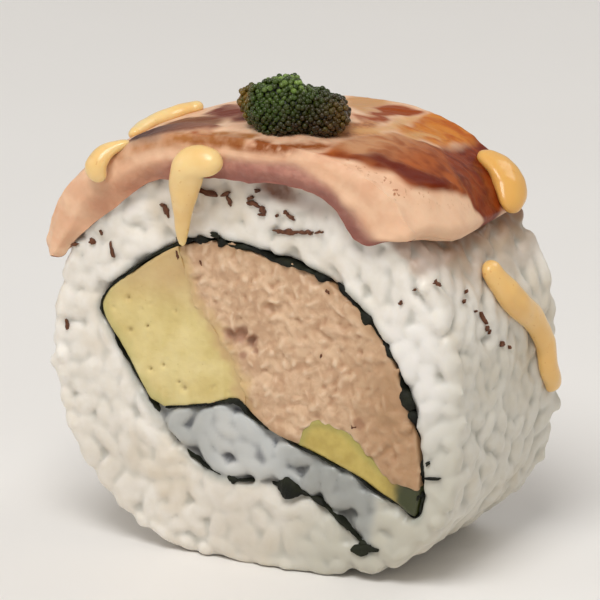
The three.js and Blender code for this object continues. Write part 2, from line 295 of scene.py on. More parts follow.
# ---------------------------------------------------------------- the rice bed
# Sushi rice pressed by the rolling mat into a rounded square, 50 mm across, cut square at both ends by the
# knife. This is the starchy mass between the grains: a body cut from face to face, a little smaller than the
# roll, with the nori spiral's room left free in it.

RICE_HALF_WIDTH = 25.4
RICE_HALF_HEIGHT = 23.9
RICE_SQUARENESS = 2.25
AXIS_HEIGHT = 23.0
rice_low, rice_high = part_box("rice")
FRONT, BACK = rice_low.y / MM, rice_high.y / MM
CUTS = [(FRONT, -1.0), (BACK, 1.0)]  # each cut face's place along Y, and the way it looks

# The nori sheet's middle line as [x, z], from its outer end under the roll to its inner end by the omelette.
NORI_LINE = [[14.4, 3.8], [12.4, 5.9], [8.7, 8.4], [4.4, 9.9], [0, 9.8], [-4.6, 10.1], [-8.2, 12],
             [-11, 14.6], [-13, 17.6], [-16.2, 23], [-19, 27.6], [-18.4, 29.6], [-14.6, 32.8], [-9.8, 36],
             [-4.6, 37.3], [0.8, 36.6], [6.6, 35.6], [12.4, 32.6], [16.8, 27.4], [19.3, 21.8], [20.8, 16],
             [21, 12.4], [20.8, 10], [20.3, 8.6], [19.3, 8.9], [18, 9.8], [15.6, 10.8], [13.2, 12.2],
             [8, 14.1], [2.4, 15.9], [-0.2, 17.7], [-1.8, 19], [-6, 17.9], [-11.2, 16.9]]
NORI_LOOP_START = 8  # the points from here on close round the filling
TIP_POINT = 26  # a point a little past the pinched fold at the filling's right tip
NORI_SAMPLES = 6
NORI_ROOM = 0.2  # that the grains and the bed leave beside the sheet's middle
# Where the sheet has worn away at the cut and the rice closes over it, as [x, z, length, share].
NORI_WORN = [[-11.7, 15.0, 2.2, 1], [-8.9, 12.6, 0.8, 1], [1.3, 9.8, 1.3, 1], [20.8, 17.4, 1.7, 1],
             [21.1, 11.9, 0.9, 1], [-4.9, 37.4, 0.6, 1], [9.9, 34.2, 0.6, 1]]


def ease(share):
    """0 below 0, 1 above 1, and a slope between that starts and ends level."""
    share = np.clip(share, 0, 1)
    return share * share * (3 - 2 * share)


def bell(value, middle_value, width):
    """A bell curve, 1 at the middle value and 1/e at width from it."""
    return np.exp(-(((value - middle_value) / width) ** 2))


def spots(plane, rows):
    """At each point the highest of round bumps given as [x, z, size, height], each a bell of the distance."""
    return np.max([height * bell(np.hypot(plane[..., 0] - x, plane[..., 1] - z), 0, size)
                   for x, z, size, height in rows], 0)


def rice_radius(angle):
    """How far the pressed rice reaches from the roll's axis at an angle: a superellipse, with a bulge low on
    the right where the roll sags."""
    across_share = np.abs(np.cos(angle)) / RICE_HALF_WIDTH
    up_share = np.abs(np.sin(angle)) / RICE_HALF_HEIGHT
    squeezed = (across_share**RICE_SQUARENESS + up_share**RICE_SQUARENESS) ** (-1 / RICE_SQUARENESS)
    turned = np.degrees(np.arctan2(np.sin(angle), np.cos(angle)))
    return squeezed + 2.3 * bell(turned, -37, 24)


def around_axis(angle, radius, y):
    """Points at an angle round the roll's axis, from +X towards +Z, at a radius and a place along Y."""
    angle, radius, y = np.broadcast_arrays(angle, radius, y)
    return np.stack([radius * np.cos(angle), y, AXIS_HEIGHT + radius * np.sin(angle)], -1)


def round_axis(x, z):
    """The angle round the roll's axis and the distance from it."""
    return np.arctan2(z - AXIS_HEIGHT, x), np.hypot(x, z - AXIS_HEIGHT)


def curve_through(points, samples):
    """A centripetal Catmull-Rom curve: between two points a cubic, whose end slopes come from the points
    before and after, each distance counted by its square root."""
    p = np.asarray(points, float)
    p = np.vstack([2 * p[:1] - p[1:2], p, 2 * p[-1:] - p[-2:-1]])
    a, b, c, d = p[:-3], p[1:-2], p[2:-1], p[3:]
    ab, bc, cd = (np.linalg.norm(e - s, axis=1, keepdims=True) ** 0.5 for s, e in [(a, b), (b, c), (c, d)])
    slope_b = ((b - a) / ab - (c - a) / (ab + bc) + (c - b) / bc) * bc
    slope_c = ((c - b) / bc - (d - b) / (bc + cd) + (d - c) / cd) * bc
    t = (np.arange(samples) / samples)[:, None, None]
    spans = (2 * t**3 - 3 * t**2 + 1) * b + (t**3 - 2 * t**2 + t) * slope_b
    spans = spans + (3 * t**2 - 2 * t**3) * c + (t**3 - t**2) * slope_c
    return np.vstack([spans.transpose(1, 0, 2).reshape(-1, p.shape[1]), p[-2:-1]])


def to_line(points, line):
    """For each point, the nearest point of a line of straight stretches, the distance to it, and the unit
    vector across that stretch, turned a quarter to the left of its course."""
    starts, steps = line[:-1], np.diff(line, axis=0)
    near, gap, across_line = np.empty_like(points), np.empty(len(points)), np.empty_like(points)
    for some in np.array_split(np.arange(len(points)), 1 + len(points) // 20000):
        away = points[some, None] - starts
        share = np.clip((away * steps).sum(-1) / (steps**2).sum(-1), 0, 1)
        reach = ((away - share[..., None] * steps) ** 2).sum(-1)
        best = reach.argmin(1)
        row = np.arange(len(some))
        near[some] = starts[best] + share[row, best, None] * steps[best]
        gap[some] = np.sqrt(reach[row, best])
        across_line[some] = np.stack([-steps[best, 1], steps[best, 0]], 1)
    return near, gap, across_line / np.linalg.norm(across_line, axis=1, keepdims=True)


def to_outline(points, outline):
    """The distance to a closed outline, negative inside: a point is inside where a ray from it along +X
    crosses the outline an odd number of times."""
    ring = np.vstack([outline, outline[:1]])
    gap = to_line(points, ring)[1]
    (x0, z0), (x1, z1) = ring[:-1].T, ring[1:].T
    height = points[:, 1:2]
    crossed = (z0 > height) != (z1 > height)
    run = np.where(z1 == z0, 1e-9, z1 - z0)
    crossings = (crossed & (points[:, :1] < x0 + (height - z0) / run * (x1 - x0))).sum(1)
    return np.where(crossings % 2 == 1, -gap, gap)


def swells(points, size, seed, octaves=1):
    """Smooth noise from -1 to 1: a random number at each corner of a lattice of cubes of that size, blended
    inside each cube with an easy slope. Each further octave halves the size and the height."""
    random = np.random.default_rng(seed)
    total = np.zeros(points.shape[:-1])
    for octave in range(octaves):
        table = random.uniform(-1, 1, (24, 24, 24))
        place = points * (2**octave / size) + 1000.0
        corner = np.floor(place).astype(int)
        weight = ease(place - corner)
        for step in np.ndindex(2, 2, 2):
            shares = np.where(step, weight, 1 - weight).prod(-1)
            total += shares * table[tuple(((corner + step) % 24)[..., k] for k in range(3))] / 2**octave
    return total


GRID_X = (-29, 30)
GRID_Z = (-1, 50)


def slab(distance, pitch, face, seed, rows=1):
    """A body between the two cuts. A square grid is kept where distance is negative, and its rim is moved
    down the slope of distance onto the outline. face gives each cut's place along Y, from the grid's points
    and distances, the knife's place, the way inwards and a seed. Straight rows join the two rims."""
    x, z = np.meshgrid(np.arange(*GRID_X, pitch), np.arange(*GRID_Z, pitch), indexing="ij")
    plane = np.stack([x.ravel(), z.ravel()], 1)
    gap = distance(plane).reshape(x.shape)
    kept = gap[:-1, :-1] + gap[1:, :-1] + gap[1:, 1:] + gap[:-1, 1:] < 0
    used, cells = np.unique(grid_faces(*x.shape)[kept.ravel()], return_inverse=True)
    cells = cells.reshape(-1, 4)
    plane = plane[used]
    count = len(plane)
    edges = np.stack([cells, np.roll(cells, -1, 1)], -1).reshape(-1, 2)
    rim_edges = edges[~np.isin(edges[:, 0] * count + edges[:, 1], edges[:, 1] * count + edges[:, 0])]
    rim = np.unique(rim_edges)
    for _ in range(3):
        here = distance(plane[rim])
        slope = np.stack([distance(plane[rim] + step) - here for step in ([0.01, 0], [0, 0.01])], 1)
        plane[rim] -= here[:, None] * slope / np.maximum(np.linalg.norm(slope, axis=1, keepdims=True), 1e-6)
    gap = np.minimum(distance(plane), 0)
    near_face, far_face = face(plane, gap, FRONT, 1, seed), face(plane, gap, BACK, -1, seed + 1)
    layers = [np.insert(plane, 1, near_face, 1), np.insert(plane, 1, far_face, 1)]
    rows_of_rim = [rim]
    for row in range(1, rows):
        share = row / rows
        rows_of_rim.append(sum(len(layer) for layer in layers) + np.arange(len(rim)))
        layers.append(np.insert(plane[rim], 1, near_face[rim] * (1 - share) + far_face[rim] * share, 1))
    rows_of_rim.append(rim + count)
    place = np.zeros(count, int)
    place[rim] = np.arange(len(rim))
    first, last = place[rim_edges].T
    walls = [np.stack([near[last], near[first], far[first], far[last]], 1)
             for near, far in zip(rows_of_rim, rows_of_rim[1:])]
    return np.vstack(layers), [cells, cells[:, ::-1] + count, *walls]


nori_line = curve_through(NORI_LINE, NORI_SAMPLES)
nori_loop = nori_line[NORI_LOOP_START * NORI_SAMPLES :]
# The tongue of rice that the spiral traps, between the sheet's loose end and the bottom of the loop.
trapped_outline = np.vstack([nori_line[: (NORI_LOOP_START + 1) * NORI_SAMPLES],
                             nori_line[TIP_POINT * NORI_SAMPLES :][::-1]])

BED_PITCH = 0.42
BED_ROWS = 20
BED_INSET = 0.8  # of the bed under the roll's outside
BED_DEPTH = 0.75  # of the bed behind the cut faces


def rice_gap(plane, inset):
    """Negative inside the rice: within the roll's outline less inset, outside the nori loop, clear of the
    sheet."""
    angle, radius = round_axis(*plane.T)
    outer = np.maximum(radius - rice_radius(angle) + inset, 0.35 * inset - plane[:, 1])
    sheet = NORI_ROOM * (1 - spots(plane, NORI_WORN)) - to_line(plane, nori_line)[1]
    return np.maximum(outer, np.maximum(-to_outline(plane, nori_loop), sheet))


def trapped(points):
    """1 in the band of rice between the nori's two layers, which is coloured grey, 0 elsewhere."""
    return ease(0.5 - to_outline(points[:, [0, 2]], trapped_outline) / 1.6)


def bed_face(plane, gap, face, inwards, seed):
    """The starch lies behind the grains' ends, deepest at its rim and between the nori's two layers."""
    place = np.insert(plane, 1, 0, 1)
    rough = 0.12 * swells(place, 1.1, seed, 2)
    rim = 0.3 * np.clip(1 + gap / 0.6, 0, 1) ** 2
    return face + inwards * (BED_DEPTH + 0.35 * trapped(place) + rough + rim)


bed_points, bed_faces = slab(lambda plane: rice_gap(plane, BED_INSET), BED_PITCH, bed_face, 11, BED_ROWS)
# The outer wall swells and dips like the grains that it lies between.
bed_angle, bed_radius = round_axis(bed_points[:, 0], bed_points[:, 2])
outer_wall = ease(1 - (rice_radius(bed_angle) - bed_radius - BED_INSET) / 1.5)
swell = 0.25 * swells(bed_points, 1.6, 13, 2) * outer_wall
bed_points[:, 0] += swell * np.cos(bed_angle)
bed_points[:, 2] = np.maximum(bed_points[:, 2] + swell * np.sin(bed_angle), 0.3)


# ---------------------------------------------------------------- the rice grains
# Short plump grains, cooked soft and pressed into each other. On the flank they lie in every direction like
# pebbles in a wall; at the two faces the knife has cut them off flat. Under the fish only those near its
# edges are made.

GRAIN_SIZE = [5.2, 2.75, 2.3]
GRAIN_SIDES = 8
GRAIN_SPACING = 2.35
GRAIN_BEND = 0.05
FACE_BULGE = 0.42  # how much of a grain still swells out of the cut face
CUT_SINK = 0.15  # of the cut behind the frame's face, before the grains bulge
RICE_VOXEL = 0.33
ALONG_X = np.array([1.0, 0, 0])
ALONG_Y = np.array([0.0, 1, 0])
rng = np.random.default_rng(20)


def unit(vectors):
    return vectors / np.linalg.norm(vectors, axis=-1, keepdims=True)


def grain_template(rings):
    """An egg of length, width and thickness 1: circles along X whose radius follows a rounded square root, a
    pole at each end."""
    along = np.cos(np.pi * np.arange(1, rings + 1) / (rings + 1))
    radius = 0.5 * (1 - np.abs(along) ** 2.5) ** 0.5
    turned = 2 * np.pi * np.arange(GRAIN_SIDES) / GRAIN_SIDES
    across = [np.outer(radius, circle(turned)).ravel() for circle in (np.cos, np.sin)]
    circles = np.stack([np.repeat(along * 0.5, GRAIN_SIDES), *across], 1)
    points = np.vstack([circles, [[0.5, 0, 0], [-0.5, 0, 0]]])
    wall, first, last = tube_faces(rings, GRAIN_SIDES)
    poles = np.repeat(rings * GRAIN_SIDES + np.arange(2), GRAIN_SIDES)
    here, there = np.hstack([first, last])[0], np.hstack([np.roll(first, -1), np.roll(last, -1)])[0]
    return points, [wall, np.stack([here, there, poles], 1)]


def scattered(wide, recess_shade, jitter):
    """A honeycomb of points over a wide by deep field, each moved by a random step of up to jitter
    spacings."""
    rows = int(round(recess_shade / (GRAIN_SPACING * 0.87)))
    columns = int(round(wide / GRAIN_SPACING))
    u, v = np.meshgrid(np.arange(columns), np.arange(rows))
    u = (u + 0.5 * (v % 2)) / columns
    v = (v + 0.5) / rows
    field = np.stack([u.ravel() * wide, v.ravel() * recess_shade], 1)
    return field + rng.uniform(-jitter, jitter, field.shape) * GRAIN_SPACING


def turned_frames(outwards, along, tilt):
    """For each grain three unit axes: the first lies in the surface at a random angle to along, the third
    points outwards, and both are tipped by up to tilt."""
    spin = rng.uniform(-np.pi, np.pi, len(outwards))[:, None]
    first = np.cos(spin) * along + np.sin(spin) * np.cross(outwards, along)
    first = unit(first + rng.uniform(-tilt, tilt, (len(outwards), 1)) * outwards)
    second = unit(np.cross(outwards, first))
    return np.stack([first, second, np.cross(first, second)], 1)


def on_cut(field, cut, outwards, depths, tilt):
    """A field of [x, z] as points at random depths behind a cut face, and the axes of what lies there."""
    centres = np.insert(field, 1, cut - outwards * rng.uniform(*depths, len(field)), 1)
    return centres, turned_frames(np.broadcast_to(outwards * ALONG_Y, centres.shape), ALONG_X, tilt)


def placed(shapes, centres, frames):
    """Shapes turned into their frames and moved to their centres, a row of points each."""
    return centres[:, None] + np.einsum("nvk,nkj->nvj", shapes, frames)


def faces_of_each(points, faces):
    """The faces of one shape as they are on every row of points."""
    offsets = points.shape[1] * np.arange(len(points))[:, None, None]
    return [(rows + offsets).reshape(-1, rows.shape[1]) for rows in faces]


def bent_grains(rings, sizes, bend, centres, frames):
    """Grains of their own sizes, each bent by a random share, up to bend, of its length squared."""
    template, faces = grain_template(rings)
    shape = template * sizes[:, None]
    shape[..., 1] += rng.uniform(-bend, bend, (len(sizes), 1)) * shape[..., 0] ** 2
    points = placed(shape, centres, frames)
    return points, faces_of_each(points, faces)


# On the flank, by angle round the axis and place along it.
flank = scattered(2 * np.pi * RICE_HALF_WIDTH, BACK - FRONT - 0.8, 0.34)
flank_angle = flank[:, 0] / RICE_HALF_WIDTH
flank_y = FRONT + 0.4 + flank[:, 1]
degrees = np.degrees(flank_angle) % 360
hidden = (degrees > 47) & (degrees < 145) & (flank_y > FRONT + 3.5)
flank_angle, flank_y = flank_angle[~hidden], flank_y[~hidden]
flank_radius = rice_radius(flank_angle) - rng.uniform(0.9, 1.25, len(flank_angle))
flank_out = around_axis(flank_angle, 1, 0) - [0, 0, AXIS_HEIGHT]
flank_centres = around_axis(flank_angle, flank_radius, flank_y)
grain_sets = [(flank_centres, turned_frames(flank_out, np.cross(flank_out, ALONG_Y), 0.14))]
# On each cut face, wherever there is rice.
for cut, outwards in CUTS:
    field = scattered(54, 50, 0.3) + [-27, 0]
    grain_sets.append(on_cut(field[rice_gap(field, 0.8) < -0.55], cut, outwards, (0.45, 1.15), 0.3))
centres, frames = map(np.concatenate, zip(*grain_sets))
sizes = GRAIN_SIZE * rng.normal(1, 0.08, (len(centres), 3))
grains, grain_faces = bent_grains(6, sizes, GRAIN_BEND, centres, frames)


def pressed(points, centres, room, bulge=0.0):
    """Grains with what lies past a surface drawn back straight towards each grain's own centre, until only
    the share bulge of it is left. room gives the distance to the surface, negative past it, for grains and
    centres alike."""
    here = room(points, centres)
    inside = np.maximum(room(centres, centres), 0.15)
    share = np.where(here < 0, (inside - bulge * here) / (inside - here), 1.0)
    return centres + (points - centres) * share[..., None]


def room_beside_nori(points, centres):
    """The distance to the nori sheet, counted on the side of it where the grain's centre is."""
    plane = points[..., [0, 2]].reshape(-1, 2)
    near, gap, across_sheet = to_line(plane, nori_line)
    own = np.broadcast_to(centres, points.shape)[..., [0, 2]].reshape(-1, 2)
    sides = ((own - near) * across_sheet).sum(1)
    reach = ((plane - near) * across_sheet).sum(1) * np.sign(sides)
    room = np.where(np.abs(reach) >= 0.7 * gap, reach, gap) - NORI_ROOM * (1 - spots(plane, NORI_WORN))
    return room.reshape(points.shape[:-1])


# The nori presses grains back to their own side of it, the knife cuts them flat and the table presses those
# below.
centres = centres[:, None]
grains = pressed(grains, centres, room_beside_nori)
grains = pressed(grains, centres, lambda points, _: points[..., 1] - FRONT - CUT_SINK, FACE_BULGE)
grains = pressed(grains, centres, lambda points, _: BACK - CUT_SINK - points[..., 1], FACE_BULGE)
grains = pressed(grains, centres, lambda points, _: points[..., 2] - 0.03)


def fused(name, parts, voxel, rounds, broad_rounds):
    """One skin round several overlapping parts, as [points, faces]: their union as a grid of voxels, each
    point then moved rounds times half way to the mean of its neighbours. The skin comes with how deep each
    point lies below what another broad_rounds of that would make of it, in millimetres."""
    points = np.vstack([part_points for part_points, _ in parts])
    starts = np.cumsum([0] + [len(part_points) for part_points, _ in parts])
    faces = [rows + start for (_, part_faces), start in zip(parts, starts) for rows in part_faces]
    rough = add_mesh(name + "_parts", points / MM, faces)
    union = rough.modifiers.new("union", "REMESH")
    union.mode = "VOXEL"
    union.voxel_size = voxel
    made = rough.evaluated_get(bpy.context.evaluated_depsgraph_get()).data
    skin = np.empty(len(made.vertices) * 3, np.float32)
    made.vertices.foreach_get("co", skin)
    corners = np.empty(len(made.loops), np.int32)
    made.loops.foreach_get("vertex_index", corners)
    skin, corners = skin.reshape(-1, 3).astype(float), corners.reshape(-1, 4)
    bpy.data.objects.remove(rough)
    here, there = np.stack([corners, np.roll(corners, -1, 1)]).reshape(2, -1)
    degree = np.bincount(here, minlength=len(skin))[:, None]

    def smoother(values, times):
        for _ in range(times):
            sums = [np.bincount(here, column[there], len(skin)) for column in values.T]
            values = 0.5 * (values + np.stack(sums, 1) / degree)
        return values

    skin = smoother(skin, rounds)
    smoothed = smoother(skin, broad_rounds)
    diagonals = skin[corners[:, 2:]] - skin[corners[:, :2]]
    facing = np.repeat(np.cross(diagonals[:, 0], diagonals[:, 1]), 4, 0)
    outwards = unit(np.stack([np.bincount(corners.ravel(), column, len(skin)) for column in facing.T], 1))
    return skin, [corners], ((smoothed - skin) * outwards).sum(1)


rice_parts = [(bed_points, bed_faces), (grains.reshape(-1, 3), grain_faces)]
rice_points, rice_faces, rice_depth = fused("rice", rice_parts, RICE_VOXEL, 2, 14)

# What colours the rice from place to place, by the angle round the axis in degrees and by how far it is from
# the fish's edge, from the nori and from the nearer cut.
x, y, z = rice_points.T
angle, radius = round_axis(x, z)
degrees = np.degrees(angle)
below_fish = np.maximum(rice_radius(angle) - radius, 0)
past_fish = np.hypot(below_fish, np.maximum(36 - degrees, 0) * np.radians(1) * RICE_HALF_WIDTH)
uneven = 0.8 * swells(rice_points, 3.0, 15, 2)
plane = rice_points[:, [0, 2]]
beside = to_line(plane, nori_line)[1] + 0.5 * uneven
on_face = ease(1 - np.minimum(y - FRONT, BACK - y) / 1.5)
trapped_band_grey = trapped(rice_points)
rice_layers = {
    # painted shade in the hollows, where the skin lies below its smoothed surface
    "shaded_hollow": ease((rice_depth + 0.03) / 0.2),
    # grey in the band between the nori's two layers; its darkest grey, in the hollows, is painted shade
    "trapped_band_grey": trapped_band_grey,
    "far": (ease((x - 1) / 7) + 0.5 * ease((-3 - x) / 5)) * trapped_band_grey,
    "beside": ease(1 - beside / 1.3) * on_face * (1 - 0.6 * spots(plane, NORI_WORN)),
    # brown under and near the fish: partly its juices soaked in, partly painted shadow of the fish
    "soak_and_shadow": ease(1 - (past_fish + uneven) / 8) * ease((degrees + 10) / 30) * ease((150 - degrees) / 60)
    * ease((y + 13) / 9),
    # painted shadow of the fish on the rice just below its edge
    "edge": ease(1 - (past_fish - 0.9 + 0.5 * uneven) / 1.3) * ease((degrees - 20) / 20)
    * ease((140 - degrees) / 30),
    # painted shade, green-grey, growing towards the lower right and over the flank
    "painted_shade_lower_right": ease((x - 4) / 18 + (16 - z) / 22) * (0.5 + 0.35 * on_face),
    # painted shade, warm, low on the cut faces in the middle and at the left
    "low": (ease((18 - z) / 15) * bell(x, -2, 6) + 0.7 * bell(x, -18, 5) * bell(z, 9, 6)) * on_face,
    # dark brown below the fish's front edge: partly glaze on the rice, partly painted shadow of the fish
    "glaze_and_shadow": ease(1.5 * bell(x + uneven, 3.3, 2.6) * bell(z + 0.5 * uneven, 44.2, 1.4)
                   + 0.5 * bell(x + uneven, 7.8, 2.6) * bell(z, 42.6, 1.3)),
    # painted light on the right of the cut faces
    "painted_light": bell(x, 21, 4.5) * bell(z, 25, 9) * on_face,
}
# Moist cooked rice: near white, with painted shade greying its hollows, green-grey towards the lower right
# and low on the flank, and warm low on the face, and painted light on the right of the face. It is grey
# between the nori's two layers and along the sheet, and brown under the fish, partly where its juices soak in
# and partly as its painted shadow. A little light goes through it.
rice = Finish("rice_grain")
cloud = rice.noise(5.0, 3.0)
mottle = rice.noise(1.4, 2.0)
fine = rice.noise(0.7, 3.0)
rice_colour = rice.mix((cloud * 0.5 + mottle * 0.5).between(0.3, 0.7), (224, 216, 203), (236, 230, 221))
rice_colour = rice.over(
    rice_colour,
    [rice.noise(7.0, 2.0).between(0.5, 0.72), 0.45, (206, 188, 160)],
    ["painted_shade_lower_right", 1, (182, 178, 162)],
    ["painted_light", 0.7, (240, 236, 232)],
    ["low", 0.2 + 0.7 * cloud, (200, 188, 170)],
    ["soak_and_shadow", 0.75 + 0.4 * cloud, (144, 112, 78)],
    ["edge", 0.7, (142, 106, 82)],
    ["shaded_hollow", 0.55, (166, 164, 152)],
    ["beside", 0.2 + 0.9 * mottle, (134, 138, 128)],
    ["glaze_and_shadow", 0.6 + 0.6 * mottle, (118, 76, 54)],
    ["trapped_band_grey", 0.62 + 0.6 * cloud, rice.mix(rice.layer("shaded_hollow"), (188, 189, 186), (84, 86, 94))],
    ["far", 0.3 + 0.5 * cloud, (120, 120, 112)],
)
rice.surface(Base_Color=rice_colour, Roughness=0.46 - 0.16 * fine, Normal=rice.bump(fine, 0.06, 0.4), IOR=1.4,
             Coat_Weight=0.1, Coat_Roughness=0.3)
rice.flesh(0.4, (1.0, 0.88, 0.7), 1.4)
add_piece("rice_grains", rice_points, rice_faces, rice, ["rice"], 180.0, rice_layers)


# ---------------------------------------------------------------- the nori
# One sheet of pressed, roasted seaweed, gone soft and leathery in the damp rice. The knife drags it a little,
# so its cut edge is ragged, thin in one place and bunched into a dark knot in the next.

NORI_HALF = 0.14
NORI_STEP = 0.14
# Where the knife has bunched the sheet, as [x, z, half width there, length].
NORI_KNOTS = [[-8.6, 36.3, 0.3, 0.7], [-6.2, 36.9, 0.6, 0.7], [-4.2, 37.0, 0.7, 0.7], [-1.4, 36.9, 0.45, 0.6],
              [4.0, 36.0, 0.4, 0.8], [8.6, 35.0, 0.5, 0.6], [11.4, 33.3, 0.42, 0.8], [14.5, 31.0, 0.8, 0.9],
              [16.9, 27.6, 0.5, 0.8], [19.6, 22.2, 1.0, 1.0], [20.0, 20.2, 0.6, 0.6], [21.1, 14.4, 0.9, 0.7],
              [-11.9, 18.0, 0.75, 0.5], [-2.8, 10.1, 0.8, 0.6], [4.6, 10.0, 1.35, 1.2], [8.2, 8.7, 0.4, 0.8],
              [11.4, 6.8, 0.36, 0.9], [13.9, 4.2, 0.8, 0.6], [-1.6, 19.0, 0.5, 1.2]]
# And where it has drawn it thin, in the same form.
NORI_THIN = [[-17.5, 25.0, 0.08, 6.0], [-8.2, 12.0, 0.08, 3.0], [17.9, 25.2, 0.08, 1.6],
             [6.6, 35.6, 0.08, 1.2], [10.4, 7.4, 0.09, 2.0]]
NORI_WAVE = 0.28  # how far the sheet strays to each side near the cut, in waves of NORI_WAVE_LENGTH
NORI_WAVE_LENGTH = 2.6
WORN_BACK = 1.1  # how far behind the cut the worn edge ends


def course(line):
    """How far along a line each of its points is."""
    return np.concatenate([[0], np.cumsum(np.linalg.norm(np.diff(line, axis=0), axis=1))])


run = course(nori_line)
stations = np.linspace(0, run[-1], int(run[-1] / NORI_STEP))
sheet_line = np.stack([np.interp(stations, run, column) for column in nori_line.T], 1)
sheet_along = unit(np.gradient(sheet_line, axis=0))
sheet_across = np.stack([-sheet_along[:, 1], 0 * stations, sheet_along[:, 0]], 1)

# Across each station a flat loop: from the front edge to the back on one side, and forward on the other.
sheet_rows = np.concatenate([[0, 0.012, 0.03, 0.06], np.linspace(0.1, 0.9, 9), [0.94, 0.97, 0.988, 1]])
loop_share = np.concatenate([sheet_rows, sheet_rows[::-1]])
loop_side = np.repeat([1, -1], len(sheet_rows))
sheet_place = np.insert(sheet_line, 1, 0, 1)
knots = np.zeros(len(sheet_line))
for x, z, half, length in NORI_KNOTS:
    share = np.hypot(*(sheet_line - [x, z]).T) / (1.3 * length)
    knots = np.maximum(knots, (half - NORI_HALF) * np.clip(1 - share**2, 0, 1) ** 0.65)
for x, z, half, length in NORI_THIN:
    knots += spots(sheet_line, [[x, z, length, half - NORI_HALF]])
bare = WORN_BACK * spots(sheet_line, NORI_WORN)
swayed = 0.15 * swells(sheet_place, 0.9, 31, 3) + 0.3 * swells(sheet_place, 2.4, 36)
front_edge = FRONT + 0.1 + 0.2 * ease((sheet_line[:, 0] - 8) / 6) - 0.4 * knots + swayed + bare
back_edge = BACK + 0.3 * knots + 0.2 * swells(sheet_place, 0.9, 32, 3) - bare
front_edge, back_edge = front_edge[:, None], back_edge[:, None]
sheet_y = front_edge + (back_edge - front_edge) * loop_share
sheet_points = sheet_place[:, None] + sheet_y[..., None] * ALONG_Y
to_edge = np.minimum(sheet_y - front_edge, back_edge - sheet_y)
ragged = 0.16 * swells(sheet_points, 0.6, 33, 2) + knots[:, None]
half = NORI_HALF + ragged * (1 - 0.8 * ease(to_edge / 1.6)) + 0.05 * swells(sheet_points, 3.0, 34)
half = np.maximum(half, 0.06) * (0.6 + 0.4 * ease(to_edge / 0.12))
stray = NORI_WAVE * swells(sheet_place, NORI_WAVE_LENGTH, 35, 2)[:, None] * ease(1 - to_edge / 2.5)
sheet_points += (half * loop_side + stray)[..., None] * sheet_across[:, None]

nori = Finish("nori")
grain = nori.noise(0.35, 4.0)
nori.surface(Base_Color=nori.mix(nori.noise(3.0).between(0.35, 0.7), (17, 18, 13), (34, 36, 22)),
             Roughness=0.5 + 0.25 * grain, Normal=nori.bump(grain, 0.15, 0.7), Specular_IOR_Level=0.2)
add_piece("nori_sheet", sheet_points, tube_faces(*sheet_y.shape), nori, ["nori"], 70.0)


# ---------------------------------------------------------------- the omelette
# A bar of rolled omelette, cut from a block: firm and fine, pale yellow, greener where it met the pan. The
# cut shows tiny burst bubbles and, faintly, the layers that it was rolled from.

FILLING_PITCH = 0.2
SHEET_CONTACT = 0.16  # a filling reaches this close to the middle of the nori sheet
PROUD = 0.02  # of the omelette past the cut
OMELETTE = np.array([[-24, 26], [-13, 41], [-9.4, 36.4], [-7.1, 30.1], [-4.2, 26.3], [-1.9, 23], [-0.8, 20.1],
                     [-0.8, 15], [-14, 12]])
# Burst bubbles on the cut, as [x, z, size, depth].
OMELETTE_MARKS = [[-8.5, 19.6, 0.5, 0.4], [-9.2, 20.2, 0.25, 0.4], [-12.8, 21.2, 0.3, 0.4],
                  [-11.2, 21.9, 0.28, 0.4], [-15.3, 25.5, 0.3, 0.4], [-15.6, 29.2, 0.35, 0.4],
                  [-13.2, 26.2, 0.2, 0.4]]
LAYER_TILT = -24.0


def pits(plane, seed, number, size, depth):
    """Round dents of random place, size and depth."""
    random = np.random.default_rng(seed)
    return [[x, z, size * random.uniform(0.5, 1.3), depth * random.uniform(0.4, 1)]
            for x, z in random.uniform(plane.min(0), plane.max(0), (number, 2))]


def rounded_edge(gap, width, depth):
    """How far a face falls away towards its rim: a quarter circle over the last width of it."""
    share = np.clip(1 + gap / width, 0, 1)
    return depth * (1 - np.sqrt(1 - share**2))


def nori_gap(plane):
    """Negative inside the nori loop, as far as a filling reaches."""
    return to_outline(plane, nori_loop) + SHEET_CONTACT


def beside_nori(plane):
    return rounded_edge(np.minimum(nori_gap(plane), 0), 0.35, 0.15)


def omelette_gap(plane):
    return np.maximum(nori_gap(plane), to_outline(plane, OMELETTE))


def omelette_face(plane, gap, face, inwards, seed):
    place = np.insert(plane, 1, seed, 1)
    relief = 0.14 * swells(place, 3.5, seed) + 0.05 * swells(place, 0.7, seed + 1, 2)
    dents = spots(plane, OMELETTE_MARKS + pits(plane, seed, 18, 0.22, 0.25))
    return face - PROUD * inwards + inwards * (relief + dents + beside_nori(plane))


points, faces = slab(omelette_gap, FILLING_PITCH, omelette_face, 41)
x, y, z = points.T
to_nori = to_outline(points[:, [0, 2]], nori_loop)
to_tuna = to_outline(points[:, [0, 2]], OMELETTE)
depth = np.minimum(y - FRONT, BACK - y)
omelette_layers = {
    "pan_side": ease(1 + (to_nori + 0.4 * swells(points, 1.5, 43, 2)) / 1.8) * ease((-6 - x) / 5),
    # yellow-brown where the tuna paste smears over it, and painted shade over the top of the bar
    "smeared": np.maximum(ease(1 + (to_tuna + 0.7 * swells(points, 1.2, 44, 2)) / 2.0),
                          0.95 * ease((z - 27) / 7)),
    # painted shade where the cut lies deeper, in the dents and burst bubbles
    "dent_shade": 0.9 * ease((depth - 0.18) / 0.2) * (to_tuna < -0.5) * (to_nori < -0.5),
}
omelette = Finish("omelette")
rolled = {"Vector": omelette.node("TexCoord", out="Object"), "Rotation": (0, np.radians(LAYER_TILT), 0),
          "Scale": (1, 0.2, 0.25)}
rolled = omelette.node("Mapping", {"vector_type": "POINT"}, rolled)
banding = omelette.node("TexNoise", None, {"Vector": rolled, "Scale": 1 / (1.3 * MM), "Detail": 2.0})
cloud = omelette.noise(4.0, 3.0)
